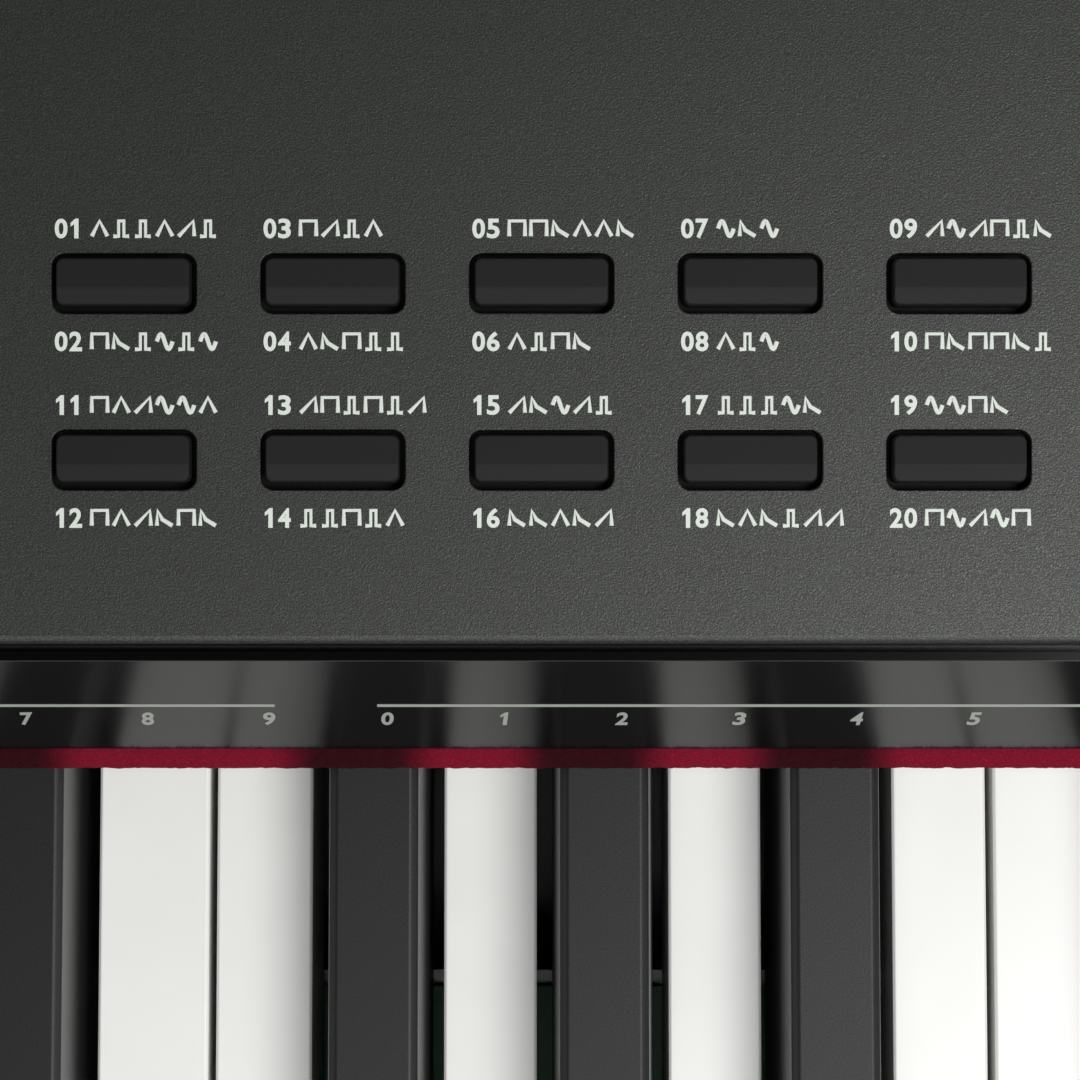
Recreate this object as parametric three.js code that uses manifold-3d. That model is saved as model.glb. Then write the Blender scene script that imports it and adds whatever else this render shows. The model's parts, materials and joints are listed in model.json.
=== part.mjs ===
// A slim stage piano with 88 keys: casing, control panel, keyboard and the parts inside.
// Millimetres. X runs along the keyboard to the right, Y to the back, Z up.
// The origin lies on the floor, under the middle of the piano.

import * as THREE from 'three';
import { mergeVertices } from 'three/addons/utils/BufferGeometryUtils.js';
import Module from 'manifold-3d';

const wasm = await Module();
wasm.setup();

// Keyboard: white and black keys
const whitePitch = 23.5;
const whiteKeyCount = 52;
const keyGap = 0.9;
const whiteShownLength = 148;
const whiteTopHeight = 80;
const whiteBodyHeight = 22;
const whiteTopThickness = 3;
const keyWall = 2;
const blackShownLength = 95;
const blackFrontGap = 2;
const blackRise = 12.4;
const blackTopWidth = 10.4;
const blackBaseWidth = 12;
const blackFrontRake = 4.5;
const blackCapHidden = 14;
const blackCapSink = 1;
const blackSlotWidth = 15.9;
const blackNeckWidth = 8;

// Shift of each black key from the line between its two white keys, as a share of the pitch.
// One entry for each line A-B, B-C, C-D, D-E, E-F, F-G and G-A, with null where no black key is.
const blackShiftShares = [0.158, null, -0.074, 0.074, null, -0.149, 0.005];
const blackKeyNames = ['a_sharp', null, 'c_sharp', 'd_sharp', null, 'f_sharp', 'g_sharp'];
const whiteKeyNames = ['a', 'b', 'c', 'd', 'e', 'f', 'g'];
const lettersBeforeC = 2;

// Key travel, and the heels and rails behind the line that the keys turn on
const keyDip = 10;
const pivotBehindFelt = 62;
const pivotBlockLength = 14;
const tailBehindPivot = 2;
const heelGap = 2;
const railDepth = 6;
const railHeight = 6;
const blackRailLift = 10;

// Keys that are moulded one by one, and sets of keys that are moulded on one rear rail
const firstSingleWhite = 24;
const lastSingleWhite = 30;
const keySets = [
  { name: 'first', firstWhite: 0, lastWhite: 7, firstLine: 0, lastLine: 7 },
  { name: 'second', firstWhite: 8, lastWhite: 15, firstLine: 8, lastLine: 15 },
  { name: 'third', firstWhite: 16, lastWhite: 23, firstLine: 16, lastLine: 23 },
  { name: 'fourth', firstWhite: 31, lastWhite: 36, firstLine: 30, lastLine: 36 },
  { name: 'fifth', firstWhite: 37, lastWhite: 43, firstLine: 37, lastLine: 43 },
  { name: 'sixth', firstWhite: 44, lastWhite: 51, firstLine: 44, lastLine: 50 },
];

// Casing: feet, bottom board, front rail, end cheeks and rear panel
const footHeight = 7;
const footDiameter = 30;
const footTaper = 2;
const footSideInset = 90;
const footDepthInset = 45;
const footSides = 20;
const boardThickness = 9;
const slipThickness = 20;
const slipGap = 2;
const slipDrop = 6;
const slipRadius = 6;
const cheekWidth = 50;
const cheekGap = 1;
const cheekRise = 8;
const cheekRadius = 8;
const cheekStand = 1;
const cheekRampLength = 34;
const cheekRampBendShares = [1 / 2, 1 / 3];
const cheekSteps = 8;
const rearThickness = 2;
const rearRecess = 4;

// Sloping strip behind the keys, and the felt under its lower edge
const stripLean = THREE.MathUtils.degToRad(60.9);
const stripFace = 19.56;
const stripWall = 2.2;
const stripLand = 1.1;
const stripLandDrop = 3;
const stripTopFlange = 9;
const stripBottomFlange = 11;
const feltRise = 14;
const feltThickness = 2;
const feltReach = 2;
const feltWidth = 12;

// Control panel: a sheet that rises a little to the back
const panelSlope = THREE.MathUtils.degToRad(4.4);
const panelDepth = 150;
const panelEdgeRise = 34.9;
const panelGap = 1.8;
const panelThickness = 2.5;
const panelEdgeRadius = 1;
const panelRearInset = 1;

// Voice buttons on the panel, in two rows
const buttonColumns = 5;
const buttonRows = 2;
const buttonPitch = 23.2;
const buttonRowPitch = 19.62;
const buttonGroupX = 39.72;
const buttonFrontRow = 20.5;
const buttonHoleWidth = 16;
const buttonHoleDepth = 6.6;
const buttonHoleRadius = 1.35;
const buttonSideClearance = 0.55;
const buttonEndClearance = 0.65;
const buttonTopInset = 0.12;
const buttonCrest = 1.5;
const buttonRearHeight = 1.25;
const buttonFrontHeight = 1;
const buttonCrestShare = 0.66;
const buttonTravel = 0.8;
const buttonSkirtThickness = 1;
const buttonSkirtReach = 1.2;
const buttonStemWidth = 3;
const buttonStemLength = 2;

// Board under the voice buttons, with one switch below each button
const circuitThickness = 1.6;
const switchWidth = 6;
const switchHeight = 3;
const switchGap = 0.2;
const boardMargin = 9;
const bossDiameter = 6;
const bossSides = 12;

// Display, power button and volume knob
const displayX = -80;
const displayRow = 38;
const displayWidth = 80;
const displayDepth = 36;
const displayRadius = 2;
const windowThickness = 1.5;
const windowSink = 0.3;
const moduleMargin = 3;
const moduleHeight = 6;
const powerRow = 38;
const volumeRow = 38;
const knobDiameter = 20;
const knobTaper = 1.5;
const knobHeight = 12;
const knobSides = 28;
const knobShaftDiameter = 6;
const knobShaftLength = 12;

// Key frame under the keys, with its felt, contact board and main board
const frameBase = 2.5;
const frameWeb = 3;
const frameShelf = 2.5;
const frameFrontInset = 6;
const frameRearReach = 12;
const stopRailInset = 8;
const stopRailDepth = 24;
const stopFeltThickness = 3;
const contactRailInset = 92;
const contactRailDepth = 30;
const pivotRailWidth = 4;
const contactBoardInset = 2;
const mainBoardWidth = 260;
const mainBoardFrontGap = 13;
const mainBoardRearGap = 6;
const standoffHeight = 8;
const standoffDiameter = 6;
const standoffInset = 8;

// Sockets in the rear panel
const socketHeight = 48;
const socketStand = 1.5;
const socketSides = 16;
const jackBodyWidth = 14;
const jackBodyLength = 24;
const jackBushDiameter = 9.8;
const jackBore = 6.6;
const jackBoreDepth = 22;
const powerBodyWidth = 12;
const powerBodyLength = 14;
const powerBore = 6.2;
const powerBoreDepth = 10;
const powerPinDiameter = 2;
const powerPinSetback = 1.5;
const dataBodyWidth = 12;
const dataBodyHeight = 11;
const dataBodyLength = 16;
const dataWall = 1.5;
const dataBoreDepth = 12;
const dataTongueWidth = 5;
const dataTongueHeight = 3;
const dataTongueSetback = 2;

// Distance of each piece near the bass end from the left cheek
const powerInset = 52;
const volumeInset = 112;
const powerInletInset = 52;
const dataSocketInset = 92;
const pedalInset = 132;
const lineRightInset = 192;
const lineLeftInset = 222;
const headphoneInset = 262;
const mainBoardInset = 282;

// Clearances that many pieces share
const seatGap = 0.2;
const sideGap = 0.3;
const overrun = 1;
const roundSteps = 3;

// Places worked out from the sizes above
const keyboardWidth = whitePitch * whiteKeyCount;
const innerWidth = keyboardWidth + 2 * cheekGap;
const overallWidth = innerWidth + 2 * cheekWidth;
const powerX = powerInset - innerWidth / 2;
const volumeX = volumeInset - innerWidth / 2;
const powerInletX = powerInletInset - innerWidth / 2;
const dataSocketX = dataSocketInset - innerWidth / 2;
const mainBoardX = mainBoardInset - innerWidth / 2;
const jackPlaces = [
  { name: 'pedal_jack', x: pedalInset - innerWidth / 2 },
  { name: 'line_out_right_jack', x: lineRightInset - innerWidth / 2 },
  { name: 'line_out_left_jack', x: lineLeftInset - innerWidth / 2 },
  { name: 'headphone_jack', x: headphoneInset - innerWidth / 2 },
];
const stripRun = stripFace * Math.cos(stripLean);
const keyFieldDepth = slipThickness + slipGap + whiteShownLength;
const overallDepth = keyFieldDepth + feltReach + stripRun + panelGap + panelDepth;
const frontY = -overallDepth / 2;
const rearY = overallDepth / 2;
const keyFrontY = frontY + slipThickness + slipGap;
const feltFrontY = keyFrontY + whiteShownLength;
const stripBottomY = feltFrontY + feltReach;
const stripTopY = stripBottomY + stripRun;
const panelFrontY = stripTopY + panelGap;
const pivotY = feltFrontY + pivotBehindFelt;
const whiteBottomHeight = whiteTopHeight - whiteBodyHeight;
const whiteHeadLength = whiteShownLength - blackShownLength - blackFrontGap;
const blackFrontY = feltFrontY - blackShownLength;
const feltBottomHeight = whiteTopHeight + feltRise;
const stripBottomHeight = feltBottomHeight + feltThickness;
const stripTopHeight = stripBottomHeight + stripFace * Math.sin(stripLean);
const panelEdgeHeight = whiteTopHeight + panelEdgeRise;
const panelLength = (panelDepth - panelRearInset) / Math.cos(panelSlope);
const boardTopHeight = footHeight + boardThickness;
const stopFeltTop = whiteBottomHeight - keyDip - seatGap;
const pitWidth = innerWidth - 2 * sideGap;
const railStartY = pivotY + tailBehindPivot + heelGap;
const railEndY = railStartY + railDepth;
const rearFaceY = rearY - rearRecess;
const rearInnerY = rearFaceY - rearThickness;
const buttonBoardDrop = panelThickness + sideGap + buttonSkirtThickness + buttonStemLength
  + buttonTravel + switchGap + switchHeight;

// Materials
function finish(colour, roughness, metalness) {
  return new THREE.MeshStandardMaterial({ color: colour, roughness, metalness });
}

const finishes = {
  whiteKey: finish('#e6e6e2', 0.35, 0),
  blackKey: finish('#2b2b2c', 0.4, 0),
  panelPaint: finish('#4b4d49', 0.55, 0.2),
  casePlastic: finish('#232423', 0.5, 0),
  rearSteel: finish('#202021', 0.6, 0.4),
  glossStrip: finish('#101110', 0.12, 0),
  redFelt: finish('#7d1a2c', 0.95, 0),
  buttonRubber: finish('#262727', 0.5, 0),
  bottomWood: finish('#1d1c1b', 0.8, 0),
  frameSteel: finish('#8d9092', 0.4, 0.9),
  circuitBoard: finish('#2d5a35', 0.5, 0),
  displayPane: finish('#0d1110', 0.08, 0),
  displayCell: finish('#5b6a4c', 0.4, 0),
  footRubber: finish('#151515', 0.9, 0),
  greyFelt: finish('#6f6f6c', 0.95, 0),
  socketPlastic: finish('#181818', 0.45, 0),
};

// Solids: closed geometries that can be joined and cut
function solidOf(geometry) {
  const bare = geometry.clone();
  bare.deleteAttribute('normal');
  bare.deleteAttribute('uv');
  const merged = mergeVertices(bare);
  return new wasm.Manifold(new wasm.Mesh({
    numProp: 3,
    vertProperties: Float32Array.from(merged.getAttribute('position').array),
    triVerts: Uint32Array.from(merged.getIndex().array),
  }));
}

function geometryOf(solid) {
  const mesh = solid.getMesh();
  const geometry = new THREE.BufferGeometry();
  geometry.setAttribute('position', new THREE.BufferAttribute(Float32Array.from(mesh.vertProperties), 3));
  geometry.setIndex(new THREE.BufferAttribute(Uint32Array.from(mesh.triVerts), 1));
  geometry.computeVertexNormals();
  return geometry;
}

function joined(solids) {
  return solids.reduce((whole, solid) => whole.add(solid));
}

function cutBy(solid, tools) {
  return tools.reduce((rest, tool) => rest.subtract(tool), solid);
}

// A box between two values on each axis
function block([x0, x1], [y0, y1], [z0, z1]) {
  const box = new THREE.BoxGeometry(x1 - x0, y1 - y0, z1 - z0);
  box.translate((x0 + x1) / 2, (y0 + y1) / 2, (z0 + z1) / 2);
  return solidOf(box);
}

// A round bar between two heights, with a radius at its foot and one at its head
function upright(x, y, [z0, z1], footRadius, headRadius, sides) {
  const bar = new THREE.CylinderGeometry(headRadius, footRadius, z1 - z0, sides);
  bar.rotateX(Math.PI / 2);
  bar.translate(x, y, (z0 + z1) / 2);
  return solidOf(bar);
}

// A round bar that lies along Y
function lengthwise(x, [y0, y1], z, radius, sides) {
  const bar = new THREE.CylinderGeometry(radius, radius, y1 - y0, sides);
  bar.translate(x, (y0 + y1) / 2, z);
  return solidOf(bar);
}

// An outline drawn in Y and Z, pulled out along X
function runAlongX(outline, [x0, x1], steps = roundSteps) {
  const bar = new THREE.ExtrudeGeometry(outline, {
    depth: x1 - x0,
    bevelEnabled: false,
    curveSegments: steps,
  });
  const turn = new THREE.Matrix4().makeBasis(
    new THREE.Vector3(0, 1, 0),
    new THREE.Vector3(0, 0, 1),
    new THREE.Vector3(1, 0, 0),
  );
  bar.applyMatrix4(turn);
  bar.translate(x0, 0, 0);
  return solidOf(bar);
}

// An outline drawn in X and Y, pulled up along Z
function raised(outline, [z0, z1]) {
  const plate = new THREE.ExtrudeGeometry(outline, {
    depth: z1 - z0,
    bevelEnabled: false,
    curveSegments: roundSteps,
  });
  plate.translate(0, 0, z0);
  return solidOf(plate);
}

function outlineThrough(points) {
  return new THREE.Shape(points.map(([a, b]) => new THREE.Vector2(a, b)));
}

function roundedRectangle(width, depth, radius) {
  const x = width / 2;
  const y = depth / 2;
  const outline = new THREE.Shape();
  outline.moveTo(-x + radius, -y);
  outline.lineTo(x - radius, -y);
  outline.absarc(x - radius, -y + radius, radius, -Math.PI / 2, 0);
  outline.lineTo(x, y - radius);
  outline.absarc(x - radius, y - radius, radius, 0, Math.PI / 2);
  outline.lineTo(-x + radius, y);
  outline.absarc(-x + radius, y - radius, radius, Math.PI / 2, Math.PI);
  outline.lineTo(-x, -y + radius);
  outline.absarc(-x + radius, -y + radius, radius, Math.PI, Math.PI * 3 / 2);
  return outline;
}

// A plate with rounded corners whose upper face is drawn in on all sides
function taperedPlate(width, depth, radius, [z0, z1], inset) {
  const plate = new THREE.ExtrudeGeometry(roundedRectangle(width, depth, radius), {
    depth: z1 - z0,
    bevelEnabled: false,
    curveSegments: roundSteps,
  });
  const place = plate.getAttribute('position');
  for (let i = 0; i < place.count; i += 1) {
    const upper = place.getZ(i) > (z1 - z0) / 2;
    const across = upper ? (width - 2 * inset) / width : 1;
    const along = upper ? (depth - 2 * inset) / depth : 1;
    place.setXY(i, place.getX(i) * across, place.getY(i) * along);
  }
  plate.translate(0, 0, z0);
  return solidOf(plate);
}

// A block whose top is narrower than its foot and starts further back
function wedgeBlock(x, [y0, y1], [z0, z1], footWidth, topWidth, rake) {
  const wedge = new THREE.BoxGeometry(footWidth, y1 - y0, z1 - z0);
  const place = wedge.getAttribute('position');
  for (let i = 0; i < place.count; i += 1) {
    if (place.getZ(i) > 0) {
      place.setX(i, place.getX(i) * topWidth / footWidth);
      if (place.getY(i) < 0) {
        place.setY(i, place.getY(i) + rake);
      }
    }
  }
  wedge.translate(x, (y0 + y1) / 2, (z0 + z1) / 2);
  return solidOf(wedge);
}

const piano = new THREE.Group();
piano.name = 'stage_piano';

const panelGroup = new THREE.Group();
panelGroup.position.set(0, panelFrontY, panelEdgeHeight);
panelGroup.rotation.x = panelSlope;
piano.add(panelGroup);

function addPiece(parent, name, solid, material) {
  const piece = new THREE.Mesh(geometryOf(solid), material.clone());
  piece.name = name;
  parent.add(piece);
  return piece;
}

// Height of the panel's upper face at a place from front to back
function panelHeightAt(y) {
  return panelEdgeHeight + (y - panelFrontY) * Math.tan(panelSlope);
}

// Keyboard: the lines between the white keys, counted from the left end
function lineX(line) {
  return -keyboardWidth / 2 + line * whitePitch;
}

function letterOf(white) {
  return white % whiteKeyNames.length;
}

function octaveOf(white) {
  return Math.floor((white + whiteKeyNames.length - lettersBeforeC) / whiteKeyNames.length);
}

// The black key that stands on the line after a white key, or null
function blackCentreAfter(white) {
  const share = blackShiftShares[letterOf(white)];
  const inside = white >= 0 && white < whiteKeyCount - 1;
  return inside && share !== null ? lineX(white + 1) + share * whitePitch : null;
}

// Plan of a white key, drawn in by a wall's width for the hollow inside
function whiteOutline(white, inset, rearEnd) {
  const left = lineX(white) + keyGap / 2 + inset;
  const right = lineX(white + 1) - keyGap / 2 - inset;
  const blackLeft = white > 0 ? blackCentreAfter(white - 1) : null;
  const blackRight = blackCentreAfter(white);
  const tailLeft = blackLeft === null ? left : blackLeft + blackSlotWidth / 2 + inset;
  const tailRight = blackRight === null ? right : blackRight - blackSlotWidth / 2 - inset;
  const front = keyFrontY + inset;
  const shoulder = keyFrontY + whiteHeadLength - inset;
  const points = [[left, front], [right, front]];
  if (blackRight !== null) {
    points.push([right, shoulder], [tailRight, shoulder]);
  }
  points.push([tailRight, rearEnd], [tailLeft, rearEnd]);
  if (blackLeft !== null) {
    points.push([tailLeft, shoulder], [left, shoulder]);
  }
  return { outline: outlineThrough(points), tailLeft, tailRight };
}

// White key: a moulded shell, open below, with a solid block and a heel at the rear
function whiteKeySolid(white) {
  const outer = whiteOutline(white, 0, pivotY + tailBehindPivot);
  const inner = whiteOutline(white, keyWall, pivotY - pivotBlockLength);
  const shell = cutBy(
    raised(outer.outline, [whiteBottomHeight, whiteTopHeight]),
    [raised(inner.outline, [whiteBottomHeight - overrun, whiteTopHeight - whiteTopThickness])],
  );
  const heel = block(
    [outer.tailLeft, outer.tailRight],
    [pivotY, railEndY],
    [whiteBottomHeight, whiteBottomHeight + railHeight],
  );
  return joined([shell, heel]);
}

// Black key: a body between the white tails, a tapered cap and a heel at the rear
function blackKeySolid(line) {
  const x = blackCentreAfter(line);
  const half = blackBaseWidth / 2;
  const capFoot = whiteTopHeight - blackCapSink;
  const body = block(
    [x - half, x + half],
    [blackFrontY, pivotY + tailBehindPivot],
    [whiteBottomHeight, capFoot],
  );
  const cap = wedgeBlock(
    x,
    [blackFrontY, feltFrontY + blackCapHidden],
    [capFoot - blackCapSink, whiteTopHeight + blackRise],
    blackBaseWidth,
    blackTopWidth,
    blackFrontRake,
  );
  const heelFoot = whiteBottomHeight + blackRailLift;
  const heel = block(
    [x - blackNeckWidth / 2, x + blackNeckWidth / 2],
    [pivotY, railEndY],
    [heelFoot, heelFoot + railHeight],
  );
  return joined([body, cap, heel]);
}

// Rear rail that joins the keys of one set
function keyRail([x0, x1], foot) {
  return block([x0, x1], [railStartY, railEndY], [foot, foot + railHeight]);
}

function blackLines(first, last) {
  const lines = [];
  for (let line = first; line <= last; line += 1) {
    if (blackCentreAfter(line) !== null) {
      lines.push(line);
    }
  }
  return lines;
}

function addSingleKeys() {
  for (let white = firstSingleWhite; white <= lastSingleWhite; white += 1) {
    const name = `key_${whiteKeyNames[letterOf(white)]}${octaveOf(white)}`;
    addPiece(piano, name, whiteKeySolid(white), finishes.whiteKey);
  }
  blackLines(firstSingleWhite, lastSingleWhite - 1).forEach((line) => {
    const name = `key_${blackKeyNames[letterOf(line)]}_${octaveOf(line)}`;
    addPiece(piano, name, blackKeySolid(line), finishes.blackKey);
  });
}

function addKeySet(set) {
  const whites = [];
  for (let white = set.firstWhite; white <= set.lastWhite; white += 1) {
    whites.push(whiteKeySolid(white));
  }
  const ends = [lineX(set.firstWhite) + keyGap, lineX(set.lastWhite + 1) - keyGap];
  whites.push(keyRail(ends, whiteBottomHeight));
  addPiece(piano, `white_keys_${set.name}_set`, joined(whites), finishes.whiteKey);

  const lines = blackLines(set.firstLine, set.lastLine);
  const blacks = lines.map(blackKeySolid);
  const firstX = blackCentreAfter(lines[0]) - blackNeckWidth / 2;
  const lastX = blackCentreAfter(lines[lines.length - 1]) + blackNeckWidth / 2;
  blacks.push(keyRail([firstX, lastX], whiteBottomHeight + blackRailLift));
  addPiece(piano, `black_keys_${set.name}_set`, joined(blacks), finishes.blackKey);
}

// Casing: feet, board, front rail, cheeks and rear panel
function addFeet() {
  const places = [
    ['front_left_foot', -1, frontY + footDepthInset],
    ['front_right_foot', 1, frontY + footDepthInset],
    ['rear_left_foot', -1, rearY - footDepthInset],
    ['rear_right_foot', 1, rearY - footDepthInset],
  ];
  places.forEach(([name, side, y]) => {
    const x = side * (overallWidth / 2 - footSideInset);
    const radius = footDiameter / 2;
    const foot = upright(x, y, [0, footHeight - seatGap], radius - footTaper, radius, footSides);
    addPiece(piano, name, foot, finishes.footRubber);
  });
}

function addBottomBoard() {
  const board = block(
    [-pitWidth / 2, pitWidth / 2],
    [frontY + slipThickness + sideGap, rearInnerY - sideGap],
    [footHeight, boardTopHeight],
  );
  addPiece(piano, 'bottom_board', board, finishes.bottomWood);
}

function addKeySlip() {
  const top = whiteTopHeight - slipDrop;
  const outline = new THREE.Shape();
  outline.moveTo(frontY, footHeight);
  outline.lineTo(frontY, top - slipRadius);
  outline.absarc(frontY + slipRadius, top - slipRadius, slipRadius, Math.PI, Math.PI / 2, true);
  outline.lineTo(frontY + slipThickness, top);
  outline.lineTo(frontY + slipThickness, footHeight);
  const rail = runAlongX(outline, [-pitWidth / 2, pitWidth / 2]);
  addPiece(piano, 'front_rail', rail, finishes.bottomWood);
}

function cheekOutline() {
  const frontTop = whiteTopHeight + cheekRise;
  const rampEndY = panelFrontY;
  const rampEndHeight = panelEdgeHeight + cheekStand;
  const rearTop = panelHeightAt(rearY) + cheekStand;
  const rampStartY = rampEndY - cheekRampLength;
  const outline = new THREE.Shape();
  outline.moveTo(frontY, footHeight);
  outline.lineTo(frontY, frontTop - cheekRadius);
  outline.absarc(frontY + cheekRadius, frontTop - cheekRadius, cheekRadius, Math.PI, Math.PI / 2, true);
  outline.lineTo(rampStartY, frontTop);
  outline.bezierCurveTo(
    rampStartY + cheekRampLength * cheekRampBendShares[0],
    frontTop,
    rampEndY - cheekRampLength * cheekRampBendShares[1],
    rampEndHeight,
    rampEndY,
    rampEndHeight,
  );
  outline.lineTo(rearY - cheekRadius, rearTop - cheekRadius * Math.tan(panelSlope));
  outline.quadraticCurveTo(rearY, rearTop, rearY, rearTop - cheekRadius);
  outline.lineTo(rearY, footHeight);
  return outline;
}

function addCheeks() {
  const outline = cheekOutline();
  const inner = innerWidth / 2;
  const outer = overallWidth / 2;
  const left = runAlongX(outline, [-outer, -inner], cheekSteps);
  const right = runAlongX(outline, [inner, outer], cheekSteps);
  addPiece(piano, 'left_cheek', left, finishes.casePlastic);
  addPiece(piano, 'right_cheek', right, finishes.casePlastic);
}

function addRearPanel() {
  const underPanel = panelThickness / Math.cos(panelSlope) + sideGap;
  const plate = block(
    [-pitWidth / 2, pitWidth / 2],
    [rearInnerY, rearFaceY],
    [footHeight, panelHeightAt(rearInnerY) - underPanel],
  );
  const through = [rearInnerY - overrun, rearFaceY + overrun];
  const holes = jackPlaces.map(({ x }) => lengthwise(
    x,
    through,
    socketHeight,
    jackBushDiameter / 2 + sideGap,
    socketSides,
  ));
  const powerHalf = powerBodyWidth / 2 + sideGap;
  holes.push(block(
    [powerInletX - powerHalf, powerInletX + powerHalf],
    through,
    [socketHeight - powerHalf, socketHeight + powerHalf],
  ));
  holes.push(block(
    [dataSocketX - dataBodyWidth / 2 - sideGap, dataSocketX + dataBodyWidth / 2 + sideGap],
    through,
    [socketHeight - dataBodyHeight / 2 - sideGap, socketHeight + dataBodyHeight / 2 + sideGap],
  ));
  addPiece(piano, 'rear_panel', cutBy(plate, holes), finishes.rearSteel);
}

// Sockets: each stands a little out of the rear panel and opens to the back
function addJacks() {
  jackPlaces.forEach(({ name, x }) => {
    const half = jackBodyWidth / 2;
    const bodyEnd = rearInnerY - seatGap;
    const face = rearFaceY + socketStand;
    const body = block(
      [x - half, x + half],
      [bodyEnd - jackBodyLength, bodyEnd],
      [socketHeight - half, socketHeight + half],
    );
    const bush = lengthwise(x, [bodyEnd - overrun, face], socketHeight, jackBushDiameter / 2, socketSides);
    const boreEnds = [face - jackBoreDepth, face + overrun];
    const bore = lengthwise(x, boreEnds, socketHeight, jackBore / 2, socketSides);
    addPiece(piano, name, cutBy(joined([body, bush]), [bore]), finishes.socketPlastic);
  });
}

function addPowerInlet() {
  const half = powerBodyWidth / 2;
  const face = rearFaceY + socketStand;
  const body = block(
    [powerInletX - half, powerInletX + half],
    [face - powerBodyLength, face],
    [socketHeight - half, socketHeight + half],
  );
  const floor = face - powerBoreDepth;
  const bore = lengthwise(powerInletX, [floor, face + overrun], socketHeight, powerBore / 2, socketSides);
  const pin = lengthwise(
    powerInletX,
    [floor - overrun, face - powerPinSetback],
    socketHeight,
    powerPinDiameter / 2,
    socketSides / 2,
  );
  addPiece(piano, 'power_inlet', joined([cutBy(body, [bore]), pin]), finishes.socketPlastic);
}

function addDataSocket() {
  const halfWidth = dataBodyWidth / 2;
  const halfHeight = dataBodyHeight / 2;
  const face = rearFaceY + socketStand;
  const floor = face - dataBoreDepth;
  const body = block(
    [dataSocketX - halfWidth, dataSocketX + halfWidth],
    [face - dataBodyLength, face],
    [socketHeight - halfHeight, socketHeight + halfHeight],
  );
  const mouth = block(
    [dataSocketX - halfWidth + dataWall, dataSocketX + halfWidth - dataWall],
    [floor, face + overrun],
    [socketHeight - halfHeight + dataWall, socketHeight + halfHeight - dataWall],
  );
  const tongue = block(
    [dataSocketX - dataTongueWidth / 2, dataSocketX + dataTongueWidth / 2],
    [floor - overrun, face - dataTongueSetback],
    [socketHeight - dataTongueHeight / 2, socketHeight + dataTongueHeight / 2],
  );
  addPiece(piano, 'data_socket', joined([cutBy(body, [mouth]), tongue]), finishes.socketPlastic);
}

// Strip behind the keys: a sloping wall with a land on top and a flange at each edge
function addKeyStrip() {
  const perSlope = 1 / Math.tan(stripLean);
  const wallAcross = stripWall / Math.sin(stripLean);
  const innerY = (height) => stripBottomY + (height - stripBottomHeight) * perSlope + wallAcross;
  const landEnd = stripTopY + stripLand;
  const flangeTop = stripTopHeight - stripLandDrop;
  const flangeFoot = flangeTop - stripWall;
  const lowerTop = stripBottomHeight + stripWall;
  const strip = runAlongX(outlineThrough([
    [stripBottomY, stripBottomHeight],
    [stripTopY, stripTopHeight],
    [landEnd, stripTopHeight],
    [landEnd, flangeTop],
    [landEnd + stripTopFlange, flangeTop],
    [landEnd + stripTopFlange, flangeFoot],
    [innerY(flangeFoot), flangeFoot],
    [innerY(lowerTop), lowerTop],
    [stripBottomY + stripBottomFlange, lowerTop],
    [stripBottomY + stripBottomFlange, stripBottomHeight],
  ]), [-pitWidth / 2, pitWidth / 2]);
  addPiece(piano, 'key_strip', strip, finishes.glossStrip);

  const felt = block(
    [-pitWidth / 2, pitWidth / 2],
    [feltFrontY, feltFrontY + feltWidth],
    [feltBottomHeight, stripBottomHeight - seatGap],
  );
  addPiece(piano, 'felt_strip', felt, finishes.redFelt);
}

// Control panel, drawn in its own plane: Y runs up the slope and Z stands out of it
function buttonPlaces() {
  const places = [];
  for (let row = 0; row < buttonRows; row += 1) {
    for (let column = 0; column < buttonColumns; column += 1) {
      const x = buttonGroupX + (column - (buttonColumns - 1) / 2) * buttonPitch;
      const y = buttonFrontRow + (buttonRows - 1 - row) * buttonRowPitch;
      places.push({ x, y, name: `voice_button_${row * buttonColumns + column + 1}` });
    }
  }
  return places;
}

function bossPlaces() {
  const halfWidth = (buttonColumns - 1) / 2 * buttonPitch + buttonPitch / 2;
  const middleY = buttonFrontRow + buttonRowPitch / 2;
  return [-1, 1].map((side) => ({ x: buttonGroupX + side * halfWidth, y: middleY }));
}

function holeAt(x, y, width, depth, radius) {
  const hole = raised(roundedRectangle(width, depth, radius), [-panelThickness - overrun, overrun]);
  return hole.translate([x, y, 0]);
}

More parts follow.
